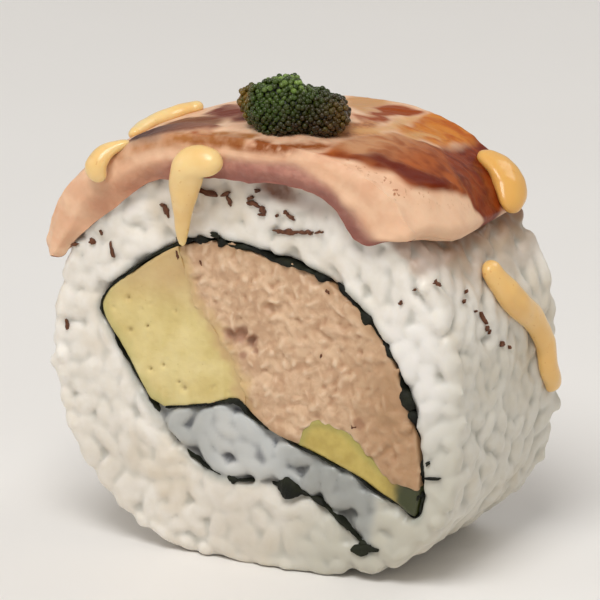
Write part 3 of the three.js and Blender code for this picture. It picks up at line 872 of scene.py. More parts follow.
bubbles = omelette.noise(0.5, 2.0)
omelette_colour = omelette.over(
    omelette.mix(cloud.between(0.3, 0.7), (218, 198, 136), (204, 182, 116)),
    [banding.between(0.5, 0.75), 0.2, (228, 212, 152)],
    ["pan_side", 0.7, (186, 176, 112)],
    [omelette.noise(6.0).between(0.5, 0.7), 0.5, (232, 216, 160)],
    ["smeared", 0.4 + cloud, (194, 160, 112)],
    [bubbles.between(0.7, 0.78), 0.4, (160, 132, 74)],
    ["dent_shade", 1, (156, 124, 66)],
)
omelette.surface(Base_Color=omelette_colour, Roughness=0.45 + 0.2 * bubbles,
                 Normal=omelette.bump(omelette.noise(0.4, 3.0), 0.08, 0.5))
omelette.flesh(0.25, (1.0, 0.8, 0.4), 1.0)
add_piece("omelette_bar", points, faces, omelette, ["omelette"], layers=omelette_layers)


# ---------------------------------------------------------------- the avocado
# A thin strip of ripe avocado low on the right: buttery and nearly smooth, yellow inside and green towards
# the skin side, which lies up against the tuna, bruised dark towards its far end, and dark green with painted
# shadow over the very end.

AVOCADO = [[5.6, 10], [5.8, 15.8], [7, 17.8], [8.8, 18.3], [12, 17.4], [14.9, 14.9], [16.9, 13.3], [19, 12.4],
           [22, 11.8], [22, 6]]
avocado_outline = curve_through(AVOCADO + AVOCADO[:1], 6)[:-1]


def avocado_face(plane, gap, face, inwards, seed):
    place = np.insert(plane, 1, seed, 1)
    relief = 0.14 * swells(place, 3.0, seed) + 0.03 * swells(place, 0.6, seed + 1)
    return face + inwards * (0.06 + relief + rounded_edge(gap, 0.45, 0.25))


points, faces = slab(lambda plane: np.maximum(nori_gap(plane), to_outline(plane, avocado_outline)),
                     FILLING_PITCH, avocado_face, 51)
x, y, z = points.T
avocado_layers = {
    "skin_side": ease(1 + to_outline(points[:, [0, 2]], avocado_outline) / 1.4) * ease((z - 12) / 2),
    "bruise": ease((x - 15.5) / 4.5),
    # painted shadow, dark green, over the very end of the strip
    "tail_shadow": ease((x - 17.2 + 0.8 * swells(points, 1.2, 53, 2)) / 1.6),
}
avocado = Finish("avocado")
streaks = avocado.noise(1.6, 3.0)
avocado_colour = avocado.over(
    avocado.mix(streaks.between(0.3, 0.7), (194, 172, 92), (178, 154, 76)),
    ["skin_side", 0.8, (152, 146, 78)],
    ["bruise", 0.4 + streaks, (124, 108, 54)],
    ["tail_shadow", 1, (54, 58, 22)],
)
avocado.surface(Base_Color=avocado_colour, Roughness=0.34 + 0.2 * streaks, Coat_Weight=0.15,
                Normal=avocado.bump(avocado.noise(0.5), 0.06, 0.4))
avocado.flesh(0.3, (1.0, 0.9, 0.3), 1.2)
add_piece("avocado_strip", points, faces, avocado, ["avocado"], layers=avocado_layers)


# ---------------------------------------------------------------- the tuna salad
# Cooked tuna stirred with mayonnaise: a moist paste full of short fibres that stand up a little from the
# knife's cut, with painted shade in the small hollows between them and where the cut lies deeper, and painted
# light on their crests. It fills all that the omelette and the avocado leave of the nori loop.

TUNA_PITCH = 0.22
TUNA_OVERLAP = 0.4  # how far the paste is smeared over its neighbours
TUNA_VOXEL = 0.2
# Places where a flake has come away, as [x, z, size, depth].
TUNA_HOLLOWS = [[-2.6, 26.6, 0.75, 0.6], [-1.3, 26.9, 0.9, 0.75], [-0.1, 26.4, 0.8, 0.8],
                [-0.9, 24.6, 0.45, 0.6], [0.5, 25.2, 0.4, 0.6], [13.4, 18.6, 0.5, 1.0]]
FIBRES = 520  # on each cut


def tuna_gap(plane):
    ragged = 0.3 * swells(np.insert(plane, 1, 0, 1), 1.3, 60, 2)
    beside = np.maximum(-to_outline(plane, OMELETTE), -to_outline(plane, avocado_outline))
    return np.maximum(nori_gap(plane), beside - TUNA_OVERLAP + ragged)


def tuna_face(plane, gap, face, inwards, seed):
    place = np.insert(plane, 1, seed, 1)
    lumps = 0.22 * swells(place, 2.6, seed, 2) + 0.3 * np.abs(swells(place, 1.6, seed + 1, 2))
    dents = spots(plane, TUNA_HOLLOWS + pits(plane, seed, 40, 0.35, 0.45))
    return face + inwards * (lumps + dents + beside_nori(plane))


paste = slab(tuna_gap, TUNA_PITCH, tuna_face, 61)
# Short fibres lie nearly sunk in the two cut faces.
fibre_sets = []
for cut, outwards in CUTS:
    field = rng.uniform([-10, 8], [21, 38], (FIBRES * 4, 2))
    inside = to_outline(field, nori_loop) < -1.0
    inside &= (to_outline(field, OMELETTE) > 0.2) & (to_outline(field, avocado_outline) > 0.3)
    for x, z, size, _ in TUNA_HOLLOWS:
        inside &= np.hypot(*(field - [x, z]).T) > 1.3 * size
    fibre_sets.append(on_cut(field[inside][:FIBRES], cut, outwards, (0.05, 0.45), 0.2))
centres, frames = map(np.concatenate, zip(*fibre_sets))
sizes = rng.uniform([1.2, 0.6, 0.5], [3.4, 1.5, 1.0], (len(centres), 3))
fibres, fibre_faces = bent_grains(7, sizes, 0.25, centres, frames)
fibres += 0.16 * np.stack([swells(fibres, 0.9, 63 + k, 2) for k in range(3)], -1)
points, faces, shaded_hollow = fused("tuna", [paste, (fibres.reshape(-1, 3), fibre_faces)], TUNA_VOXEL, 2, 8)

x, y, z = points.T
plane = points[:, [0, 2]]
depth = np.minimum(y - FRONT, BACK - y)
uneven = 0.3 * swells(points, 0.9, 67, 2)
away = [(np.hypot(x - a, z - b) + uneven) / size for a, b, size, _ in TUNA_HOLLOWS]
torn_out = ease(1.6 - np.min(away, 0)) * (y < 0)
tuna_layers = {
    # painted shade in the hollows between the fibres, painted light on their crests
    "shaded_hollow": ease((shaded_hollow - 0.01) / 0.08),
    "lit_crest": ease((-0.01 - shaded_hollow) / 0.06),
    "smeared": ease(1 - (to_outline(plane, OMELETTE) + 0.6 * swells(points, 1.2, 66, 2)) / 1.8),
    # painted shade where the cut lies deeper and where flakes have come away
    "recess_shade": np.maximum(ease((depth - 0.35) / 0.4) * (tuna_gap(plane) < -0.6), torn_out),
    "tip": np.maximum(ease((x - 9) / 9) * ease((34 - z) / 12), ease(1 + to_outline(plane, nori_loop) / 1.6)),
}
tuna = Finish("tuna_salad")
flecks = tuna.noise(1.1, 4.0, 0.6)
patches = tuna.noise(3.2, 3.0)
tuna_colour = tuna.over(
    tuna.mix((flecks * 0.5 + patches * 0.5).between(0.4, 0.6), (192, 154, 120), (212, 178, 144)),
    ["lit_crest", 0.6, (230, 204, 174)],
    ["shaded_hollow", 0.8, (164, 118, 82)],
    ["smeared", 0.3 + patches, (204, 172, 118)],
    ["recess_shade", 0.8, (156, 112, 86)],
    ["tip", 0.2 + patches, (160, 120, 80)],
)
tuna.surface(Base_Color=tuna_colour, Roughness=0.5 + 0.2 * flecks, Coat_Weight=0.08,
             Normal=tuna.bump(flecks, 0.14, 0.6))
tuna.flesh(0.2, (1.0, 0.6, 0.4), 1.0)
add_piece("tuna_salad_flakes", points, faces, tuna, ["tuna_salad"], 180.0, tuna_layers)


# ---------------------------------------------------------------- the seared fish
# A thin slice of fatty tuna, seared with a torch and brushed with a dark glaze, draped over the roll so that
# its front edge hangs a little over the cut. The cut edge is pink below and cooked pale above, wet all along.

FISH_GAP = 0.3
FISH_THICKNESS = 3.8
FISH_FRONT_OVERHANG = [0.9, 2.4]  # at the left tip and at the right
FISH_BACK = BACK + 0.4
FISH_BACK_TAPER = 0.42  # share of the thickness that is left at the back edge
FISH_BACK_CORNER = 1.8  # how far the back edge draws in at its two corners
FISH_STATIONS = 230
FRONT_ROWS, TOP_ROWS, UNDER_ROWS, LIP_ROWS = 16, 100, 12, 4
DEGREES_TO_ARC = np.radians(1) * 24.5  # millimetres along the fish for a degree round the axis


def blend(low, high, share):
    return low + (high - low) * share


def quarter_round(share):
    """0 at a share of 0 or less and 1 at 1, along a quarter circle that starts level."""
    return 1 - np.sqrt(1 - np.clip(share, 0, 1) ** 2)


def fish_thickness(u):
    """Full in the middle, thinner at the left tip (u = 0) and at the right end (u = 1)."""
    ends = blend(0.85, 1, ease(u / 0.12)) * blend(0.55, 1, ease((1 - u) / 0.1))
    return FISH_THICKNESS * ends * (1 - 0.14 * bell(u, 0.52, 0.16) + 0.1 * bell(u, 0.8, 0.12))


def fish_left(v):
    """The left tip's angle in degrees, from the fish's front (v = 0) to its back (v = 1)."""
    return 159.5 - 10 * v - 1.5 * (1 - np.clip(v / 0.08, 0, 1)) ** 2


def fish_right(v):
    return 41.7 - 5.4 * ease(v / 0.36)


def fish_front(u):
    overhang = blend(*FISH_FRONT_OVERHANG, ease(u / 0.7))
    return FRONT - overhang + 0.7 * bell(u, 1, 0.12) + 1.6 * quarter_round((u - 0.96) / 0.04)


def fish_lip(u):
    """How far the front edge hangs down below the top of the rice, in scallops."""
    scallops = 0.8 + 0.6 * bell(u, 0.2, 0.09) + 0.5 * bell(u, 0.46, 0.14) + 0.3 * bell(u, 0.62, 0.09)
    scallops = scallops + 1.6 * bell(u, 0.92, 0.07)
    return 1.5 * blend(0.4, 1, ease(u / 0.12)) * ease((1 - u) / 0.06) * scallops


def near_end(u):
    """1 at the slice's left tip and right end, 0 from a little way in."""
    return np.maximum(1 - ease(u / 0.16), 1 - ease((1 - u) / 0.14))


def fish_top(u, v):
    """The fish's height over the rice, from its front (v = 0) to its back (v = 1)."""
    edges = blend(0.86 - 0.12 * near_end(u), 1, ease(v / 0.14))
    edges = edges * blend(1, FISH_BACK_TAPER, ease((v - 0.3) / 0.7))
    ripple = 0.16 * np.sin(9 * v + 5 * u) + 0.1 * np.sin(17 * u - 4 * v)
    return fish_thickness(u) * edges + ripple * ease(u / 0.2) * ease((1 - u) / 0.2)


def on_fish(degrees, y, lift=0.0):
    """A point over the fish's upper side, at an angle round the axis and a place along Y."""
    v = np.clip((y - FRONT) / (BACK - FRONT), 0, 1)
    u = np.clip((fish_left(v) - degrees) / (fish_left(v) - fish_right(v)), 0, 1)
    angle = np.radians(degrees)
    return around_axis(angle, rice_radius(angle) + FISH_GAP + fish_top(u, v) + lift, y)


# Each ring runs round a cross-section: up the front edge, over the top to the back, forward again underneath,
# and down behind the lip that hangs over the cut.
stations = np.linspace(0, 1, FISH_STATIONS)
u = (stations - 0.004 * np.sin(2 * np.pi * stations))[:, None]
climb = np.linspace(0, 1, FRONT_ROWS)
top_v = np.linspace(0.005, 0.965, TOP_ROWS)
under_v = np.linspace(0.97, 0.04, UNDER_ROWS)
lip_v = np.linspace(0.03, 0.015, LIP_ROWS)
front_rows, lip_rows = np.s_[:, :FRONT_ROWS], np.s_[:, -LIP_ROWS:]
front_y = fish_front(u)
back_y = FISH_BACK - FISH_BACK_CORNER * quarter_round((np.abs(2 * u - 1) - 0.94) / 0.06)
edge_start = blend(0.72, 0.4, near_end(u))
edge_bow = blend(0.55, 1.0, near_end(u))
front_bow = 0.5 * (1 - ease(climb / 0.35)) + edge_bow * ease((climb - edge_start) / (1 - edge_start)) ** 2
heights = np.hstack(
    [
        blend(-fish_lip(u), fish_top(u, 0.02) - 0.05, climb),
        fish_top(u, top_v),
        0.45 * FISH_BACK_TAPER * fish_thickness(u),
        np.zeros((FISH_STATIONS, UNDER_ROWS)),
        -fish_lip(u) * np.linspace(0.2, 1, LIP_ROWS),
    ]
)
places = np.hstack(
    [
        front_y + front_bow,
        blend(front_y + edge_bow + 0.05, back_y, top_v),
        back_y,
        np.maximum(blend(front_y, back_y, under_v), FRONT - FISH_GAP),
        np.full((FISH_STATIONS, LIP_ROWS), FRONT - FISH_GAP),
    ]
)
shares = np.concatenate([0 * climb, top_v, [1], under_v, lip_v])
fish_degrees = blend(fish_left(shares), fish_right(shares), u)
fish_angle = np.radians(fish_degrees)

# Towards both ends the whole section closes up round a line low inside it.
to_end = np.minimum(u, 1 - u) * 54.0 / (0.25 + 0.4 * fish_top(u, shares))
closing = np.maximum(np.sqrt(1 - (1 - np.clip(to_end, 0, 1)) ** 2), 0.02)
heights = blend(blend(0.3, 0.08, ease(shares)) * fish_thickness(u), heights, closing)

# Everything on the fish is placed by its arc round the axis from the +X side and its place along Y.
flat = np.stack([fish_degrees * DEGREES_TO_ARC, places], -1)
across_muscle = (flat[..., 1] + 1.1 * flat[..., 0]) / 1.487
along_muscle = (1.1 * flat[..., 1] - flat[..., 0]) / 1.487
outer = np.zeros(heights.shape)
outer[:, : FRONT_ROWS + TOP_ROWS] = 1
on_front = np.zeros(heights.shape)
on_front[front_rows] = 1 - ease((climb - 0.8) / 0.2)
upper = np.ones(heights.shape)
upper[front_rows] = ease((climb - 0.68) / 0.2)
place = np.dstack([flat, heights])
wander = np.dstack([swells(place, 2.2, 71, 2), swells(place, 2.2, 72, 2)])
across_fibre = (across_muscle + 0.5 * wander[..., 0]) / 0.55
fibre = swells(np.dstack([across_fibre, (along_muscle + 3 * wander[..., 1]) / 8, heights / 3]), 1.0, 73, 2)
fibre[front_rows] *= 0.3

# Where the torch and the glaze have coloured it, and where a dark stripe, partly painted shade, runs in a
# groove, as [degrees, y]. Past the seam, from behind the roe to the right end, lies the dark brown muscle,
# and behind that the amber skin side.
SEAM = [[70, -13.2], [64, -12.7], [59.1, -12.3], [53.2, -11.6], [49.6, -9.4], [46.5, -5.4], [42.5, -1],
        [37, 1], [33, 2]]
TORCH_LINE = [[103, -15], [99.6, -15.2], [95.9, -15.1], [89.7, -15.1], [84.5, -15], [79.9, -14.7],
              [75.9, -13.7], [72.4, -12.4]]
CREAM = [[70.4, -5.4], [68.6, -4], [67.3, -2], [68, 2], [69.2, 6.1], [69, 8.8]]
CREAM_SPOT = [[62.6, -0.6], [62.2, 2.2], [61.8, 4.2], [59.6, 5.4]]
OUTLINES = {
    "muscle": [[70.7, -14.8], [67.6, -14.3], [64, -13.2], [60, -12.8], [55.6, -11.5], [51.6, -10.6],
               [48.6, -8.7], [46.3, -5.7], [42.6, -0.8], [37.3, 0.9], [36.5, 4.4], [44, 5], [52.4, 5.2],
               [55.6, 3.6], [60, 0.6], [62.8, -1], [65.6, -3.2], [67.6, -5.6], [69.8, -8.4]],
    "core": [[70.5, -14.7], [66.5, -12.9], [63.8, -11.6], [61.6, -10], [58.1, -9.2], [54.8, -7.8],
             [51.5, -5.6], [47.8, -4.6], [47.2, -6.6], [50.1, -9.5], [53.8, -10.7], [57.1, -11.9],
             [61, -12.6], [65.5, -13.9]],
    "torched": [[74.4, -1.8], [75.6, 3.4], [78.4, 9.6], [77.6, 11.8], [74.2, 12.4], [69.6, 11.6], [71, 8.3],
                [71, 4.8], [71.4, 0.2]],
    "blush": [[76.6, -8], [75.4, -3.2], [72.8, -1], [70.5, -0.8], [68.4, -3.2], [67.6, -5.6], [69.6, -7.6],
              [72.4, -9.4]],
    "tanned": [[90, 5], [84, 4.6], [77, 2], [74.6, 1], [77.6, 6], [80, 13], [90, 13]],
    "amber": [[67.2, 4.6], [67.9, 8.6], [67.4, 12.6], [62.6, 13.4], [57, 13.4], [54.6, 12.8], [54.4, 9.7],
              [55.2, 7.2], [56, 4.9], [57.3, 3.2], [59.9, 1.6], [64.4, -0.9], [66.6, 0.6]],
    "end_glaze": [[57, 3.4], [55.2, 6.2], [54.6, 8.8], [55, 13.4], [46, 13], [42.7, 10.6], [37.5, 7.5],
                  [35.4, 2.4], [38.8, -0.3], [43.6, -1.1], [46.6, -1.6], [49.6, -0.5], [52.4, 0.6],
                  [54.8, 1.8]],
    "smoked": [[119.8, -6.2], [114.9, -5.2], [109, -6.4], [104, -7.4], [102, -11], [104, -12.4],
               [110.5, -12.2], [116, -11.6]],
    "flecked": [[125.4, -13.6], [119.8, -14], [114.1, -14.2], [109, -13.9], [104.3, -13.7], [99.9, -13.2],
                [93.5, -12.6], [88, -12.8], [90.7, -15.2], [97.5, -15.3], [104.3, -15.4], [109.5, -15.4],
                [115.7, -15.3], [121.3, -15.1]],
    "stripe": [[122.6, -13.3], [120.8, -11.7], [115.6, -10.7], [110.1, -10.9], [104.5, -11.2], [99.4, -11.8],
               [101, -12.9], [106.6, -13.6], [112.7, -14.1], [118.4, -14]],
    "reddish": [[111.5, -4.4], [110.4, -0.2], [104.4, 0.2], [98, -2.6], [94, -3], [94, -7], [98.4, -9.6],
                [102.4, -8.6], [106.1, -7.4]],
}
# The pink band of raw fish: how far up the front edge it reaches, as [degrees, share].
PINK_TOPS = [[41, 0.1], [46, 0.27], [53, 0.42], [60, 0.36], [68, 0.53], [75, 0.7], [84, 0.66], [94, 0.56],
             [102, 0.46], [141, 0.5], [152, 0.3]]


def fish_line(points, samples):
    return curve_through(np.array(points) * [DEGREES_TO_ARC, 1], samples)


def region(name, soft, stray):
    """1 inside an outline on the fish, 0 outside it, blurred over soft millimetres, its edge moved by
    stray."""
    ring = fish_line(OUTLINES[name] + OUTLINES[name][:1], 4)[:-1]
    gap = to_outline((flat + stray * wander).reshape(-1, 2), ring).reshape(heights.shape)
    return ease(0.5 - gap / soft)


def band(line, width):
    """1 along a line on the fish, fading out over width millimetres to both sides."""
    return bell(to_line(flat_line, fish_line(line, 6))[1], 0, width).reshape(heights.shape)


flat_line = (flat + 0.35 * wander).reshape(-1, 2)
seam_near, _, seam_across = to_line(flat_line, fish_line(SEAM, 6))
past_seam = ((flat_line - seam_near) * seam_across).sum(1).reshape(heights.shape) * np.sign(seam_across[0, 1])
seam_fade = bell(fish_degrees, 53, 14)
muscle = region("muscle", 0.8, 0.4) * (1 - on_front)
core = region("core", 1.8, 0.6) * blend(1, 0.6, ease((fish_degrees - 60) / 5))
amber = region("amber", 1.5, 0.8) * outer
end_glaze = region("end_glaze", 1.3, 0.4) * outer
torch_line = band(TORCH_LINE, 1.0) * upper * ease((swells(place, 1.3, 80, 2) + 0.75) / 0.7)
torch_line *= blend(0.55, 1, ease((98 - fish_degrees) / 8))
flecked = region("flecked", 1.0, 0.5) * upper * blend(0.6, 1, ease((swells(place, 0.9, 81, 2) + 0.6) / 0.9))
torched = bell(places, FRONT - 1.2, 1.1) * (1 - on_front) * ease((swells(place, 1.3, 75, 2) - 0.1) / 0.5)
torched *= ease((u - 0.3) / 0.08) * ease((0.7 - u) / 0.1)
muscle_lines = 0.5 + 0.5 * np.cos(2 * np.pi * (across_muscle / 3.4 + 0.9 * wander[..., 0] + 0.15 * fibre))
raw_top = np.interp(fish_degrees, *np.transpose(PINK_TOPS)) + 0.06 * swells(place, 3.0, 74, 2)
raw_top = raw_top[front_rows]
raw_share, under_edge = np.zeros((2, *heights.shape))
raw_share[front_rows] = ease((raw_top + 0.1 - climb) / 0.34) * ease((u - 0.06) / 0.16)
# Painted shade on the front edge, darkest at its foot, and all over the hanging lip.
under_edge[front_rows] = ease(1 - climb / 0.42) * ease((u - 0.16) / 0.34)
raw_share[lip_rows] = under_edge[lip_rows] = 1

relief = 0.03 * fibre * (1 - 0.7 * end_glaze) + 0.1 * swells(place, 2.5, 76, 2)
relief += np.clip(muscle + amber + end_glaze, 0, 1) * (0.05 * muscle_lines - 0.08)
relief += 0.25 * end_glaze - 0.25 * core * outer
relief -= (0.35 * region("stripe", 1.0, 0.2) + 0.15 * bell(past_seam, 0.5, 0.5) * seam_fade) * (1 - on_front)
relief[front_rows] += 0.12 * swells(place[front_rows], 1.4, 77, 2) - 0.25 * bell(raw_top, climb, 0.1)
skin = around_axis(fish_angle, rice_radius(fish_angle) + FISH_GAP + heights, places)
normal = np.cross(np.roll(skin, -1, 1) - np.roll(skin, 1, 1), np.gradient(skin, axis=0))
normal /= np.maximum(np.linalg.norm(normal, axis=2, keepdims=True), 1e-9)
skin += normal * (relief * outer * ease(to_end))[..., None]
fish_layers = {
    "fibre": 0.5 + 0.5 * fibre,
    "lines": muscle_lines,
    "pores": bell(past_seam, -1.0, 0.8) * seam_fade,
    "muscle": muscle,
    "core": core,
    "left": ease((fish_degrees - 54) / 13) * ease((places + 13.5) / 3),
    "tanned": region("tanned", 2.0, 0.9) * outer,
    "blush": region("blush", 1.6, 0.9) * outer,
    "amber": amber,
    "cream": np.clip(band(CREAM, 0.8) + band(CREAM_SPOT, 0.6), 0, 1),
    "end_glaze": end_glaze,
    "flecked": flecked * outer,
    "torch_line": torch_line * outer,
    "torched": np.clip(torched + region("torched", 1.4, 1.0), 0, 1),
    "smoked": region("smoked", 1.6, 0.6) * outer,
    # a shallow groove, dark purple-grey: partly the split flesh's own colour, partly painted shade on its
    # side
    "stripe": region("stripe", 0.8, 0.3) * outer * upper,
    "fade": ease((122 - fish_degrees) / 20),
    "reddish": region("reddish", 1.8, 0.7) * outer,
    # painted light towards the right end, where the surface turns away from the lamps
    "painted_light_right": ease((52 - fish_degrees) / 8) * (1 - muscle) * (1 - end_glaze),
    "raw": raw_share,
    "raw_left": ease((fish_degrees - 106) / 16),
    "raw_right": ease((68 - fish_degrees) / 12),
    "under_edge": under_edge,
    "wet": np.clip(raw_share + 0.3 * end_glaze, 0, 1),
}

fish = Finish("seared_fish")
fine = fish.noise(0.6, 4.0)
broad = fish.noise(3.0, 3.0)
streaky = fine * 0.12 + broad * 0.64 + fish.layer("fibre") * 0.1 + fish.layer("lines") * 0.14
left = fish.layer("left")
browned = fish.mix(left, (164, 84, 36), (190, 138, 98))
browned = fish.mix(streaky.between(0.3, 0.6), fish.mix(left, (126, 54, 18), (166, 104, 66)), browned)
ambered = fish.mix(streaky.between(0.32, 0.58), (176, 88, 24), (200, 124, 50))
tones = fish.noise(2.2, 2.0).between(0.3, 0.7)
raw = fish.over(
    fish.mix(tones, (166, 110, 96), (190, 136, 118)),
    ["raw_left", 1, fish.mix(tones, (184, 128, 98), (202, 150, 118))],
    ["raw_right", 0.8, fish.mix(tones, (146, 92, 80), (174, 120, 104))],
    ["under_edge", 0.3 + broad, (136, 84, 74)],
)
fish_colour = fish.over(
    fish.mix(broad.between(0.35, 0.65), (230, 188, 154), (216, 166, 132)),
    ["fibre", 0.3, (238, 206, 176)],
    ["pores", fine.between(0.58, 0.66), (160, 94, 56)],
    ["muscle", 1, fish.over(browned, ["core", 0.92, (96, 20, 0)])],
    ["tanned", 0.9, (190, 138, 86)],
    ["blush", 0.9, fish.mix(fine.between(0.4, 0.6), (184, 120, 70), (150, 84, 36))],
    ["amber", 1, fish.mix(streaky.between(0.62, 0.76), ambered, (214, 158, 92))],
    ["cream", 0.4 + 0.8 * fine, (208, 158, 104)],
    ["end_glaze", 1, fish.mix(streaky.between(0.3, 0.65), (100, 24, 0), (138, 56, 14))],
    ["flecked", 0.8 + 0.5 * fine, (168, 110, 62)],
    ["torch_line", 0.5 + fine, (138, 74, 34)],
    ["torched", 0.85 + 0.4 * fine, (146, 62, 4)],
    ["smoked", 0.7 + 0.6 * broad, (118, 66, 34)],
    ["stripe", 0.8 + 0.4 * fine, fish.mix(fish.layer("fade"), (70, 44, 42), (134, 90, 72))],
    ["reddish", 0.5 + 0.9 * broad, (108, 40, 18)],
    ["painted_light_right", 0.6, (238, 198, 164)],
    ["raw", 1, raw],
)
beads = fish.noise(0.55, 1.0)
fish.surface(
    Base_Color=fish_colour,
    Roughness=0.46 - 0.14 * fine,
    Specular_IOR_Level=0.1,
    Normal=fish.bump(beads * fish.layer("wet"), 0.16, 0.8, over=fish.bump(fine, 0.1, 0.4)),
    Coat_Weight=(0.25 + 0.5 * beads.between(0.5, 0.6)) * fish.layer("wet"),
    Coat_Roughness=0.08,
    Coat_IOR=1.33,
)
fish.flesh(0.2, (1.0, 0.5, 0.35), 1.0)
add_piece("seared_fish", skin, tube_faces(*heights.shape), fish, ["fish_slice"], layers=fish_layers)


# ---------------------------------------------------------------- the roe
# A small heap of flying-fish roe dyed green: a thousand crisp round eggs, each under a millimetre, glossy and
# half clear, so the heap is near black inside and bright green where light comes through on its upper left.

# The heap's lobes, as [degrees, y, lift] and then the half sizes along X, Y and Z.
ROE_LOBES = np.array([[85.8, -9.4, 2.1, 4.3, 3.9, 3.8], [76.9, -8.6, 1.9, 2.9, 2.8, 2.5],
                      [81.6, -6.2, 1.3, 4.2, 3.4, 2.8], [95.2, -7.6, 2.2, 1.6, 1.9, 1.8]])
EGG = 0.7
EGGS_PER_SQUARE = 2.7
CORE_RINGS, CORE_SIDES = 22, 36
CORE_INSET = 0.62  # of the dark core under a lobe's outside
LOBE_OVERLAP = 0.55  # how deep inside another lobe eggs are still made


def lumps(direction, degrees):
    """A lobe's swells and dips, by the direction from its middle."""
    x, y, z = np.moveaxis(direction, -1, 0)
    return 1 + 0.06 * np.sin(7 * x + degrees) * np.cos(6 * y) + 0.05 * np.sin(9 * z - 4 * x)


def directions(number):
    """Evenly spread unit vectors: heights in equal steps, each turned on by the golden angle."""
    step = np.arange(number) + 0.5
    height = 1 - 2 * step / number
    turned = step * np.pi * (3 - np.sqrt(5))
    reach = np.sqrt(1 - height**2)
    return np.stack([reach * np.cos(turned), reach * np.sin(turned), height], 1)


def over_fish(points):
    """How far points are above the fish's upper side."""
    angle, radius = round_axis(points[:, 0], points[:, 2])
    surface = on_fish(np.degrees(angle), points[:, 1])
    return radius - round_axis(surface[:, 0], surface[:, 2])[1]


polar = np.linspace(0.02, np.pi - 0.02, CORE_RINGS)[:, None]
turned = 2 * np.pi * np.arange(CORE_SIDES) / CORE_SIDES
ball = [np.sin(polar) * np.cos(turned), np.sin(polar) * np.sin(turned), np.cos(polar)]
ball = np.stack(np.broadcast_arrays(*ball), -1)
lobe_middles, lobe_sizes = on_fish(*ROE_LOBES[:, :3].T), ROE_LOBES[:, 3:]
egg_centres, core_points, core_faces = [], [], []
for number, (degrees, lobe, size) in enumerate(zip(ROE_LOBES[:, 0], lobe_middles, lobe_sizes)):
    toward = directions(int(EGGS_PER_SQUARE * 4 * np.pi * size.prod() ** (2 / 3)))
    reach = lumps(toward, degrees)[:, None] * size - 0.42 * EGG - rng.uniform(-0.08, 0.28, (len(toward), 1))
    eggs = lobe + toward * reach + rng.uniform(-0.12, 0.12, toward.shape)
    buried = (((eggs[:, None] - lobe_middles) / (lobe_sizes - LOBE_OVERLAP)) ** 2).sum(-1) <= 1
    buried[:, number] = False
    egg_centres.append(eggs[(over_fish(eggs) > 0.1) & ~buried.any(1)])
    core_points.append(lobe + ball * (lumps(ball, degrees)[..., None] * (size - CORE_INSET)))
    core_faces += tube_faces(CORE_RINGS, CORE_SIDES, number * CORE_RINGS * CORE_SIDES)

egg_centres = np.vstack(egg_centres)
egg_count = len(egg_centres)
egg_template, egg_template_faces = grain_template(5)
egg_frames = turned_frames(directions(egg_count), [0.6, 0.48, 0.64], 0.5)
egg_sizes = EGG * rng.uniform(0.88, 1.1, (egg_count, 1, 1))
eggs = placed(0.5 * unit(egg_template) * egg_sizes, egg_centres, egg_frames)

# Painted light in the eggs' colour: how green an egg is, greener towards the upper left where light comes
# through, how brown at the heap's sides with the light behind it, and how bright on top.
x, y, z = (egg_centres - lobe_middles[0]).T
at_sides = ease((-2.6 - x) / 1.6) + 0.8 * ease((x - 4.5) / 4) * ease((z + 4) / 2)
on_top = ease((z - 0.8) / 3) * ease(1.6 - np.abs(x - 0.6) / 2.6)
egg_layers = {
    "tone": ease(0.62 - x / 13.0 + z / 9.0) + rng.normal(0, 0.15, egg_count),
    "rim": at_sides * rng.uniform(0.3, 1.1, egg_count),
    "painted_light": on_top * rng.uniform(-0.5, 0.9, egg_count),
}
egg_layers = {name: np.repeat(np.clip(values, 0, 1), eggs.shape[1]) for name, values in egg_layers.items()}

# Painted shade: a near-black body under the eggs stands for the shade deep in the heap between them.
roe_shade_core = Finish("roe_shade_core")
roe_shade_core.surface(Base_Color=paint(20, 19, 8), Roughness=0.4)
add_piece("roe_shade_core", np.stack(core_points), core_faces, roe_shade_core, ["roe"])

roe = Finish("roe_eggs")
roe_colour = roe.over(
    roe.mix(roe.layer("tone"), (42, 27, 8), (48, 64, 13)),
    ["rim", 1, (112, 84, 28)],
    ["painted_light", 1, (130, 154, 74)],
)
roe.surface(Base_Color=roe_colour, Roughness=0.16, Specular_IOR_Level=0.15, Coat_Weight=0.6,
            Coat_Roughness=0.03, Coat_IOR=1.35)
roe.flesh(0.3, (0.6, 1.0, 0.3), 0.6)
egg_faces = faces_of_each(eggs, egg_template_faces)
add_piece("roe_eggs", eggs, egg_faces, roe, sharp=180.0, layers=egg_layers)


# ---------------------------------------------------------------- the mayonnaise sauce
# Thick spicy mayonnaise, squeezed from a bottle in five drizzles. It is stiff enough to stand up in a round
# bead, and soft enough to sink on to what it lies on and to draw out to a point where it hangs.

SAUCE_SIDES = 30
SAUCE_SAMPLES = 18
SAUCE_VOXEL = 0.15
FORWARD = -ALONG_Y


def on_rice(degrees, y, lift):
    angle = np.radians(degrees)
    return around_axis(angle, rice_radius(angle) + lift, y)


def outward(degrees):
    return around_axis(np.radians(degrees), 1, 0) - [0, 0, AXIS_HEIGHT]


def laid(surface, rows):
    """Stops of a drizzle that lies on the fish or the rice, from rows of [degrees, y, lift, radius]."""
    return [(surface(degrees, y, lift), radius, outward(degrees)) for degrees, y, lift, radius in rows]


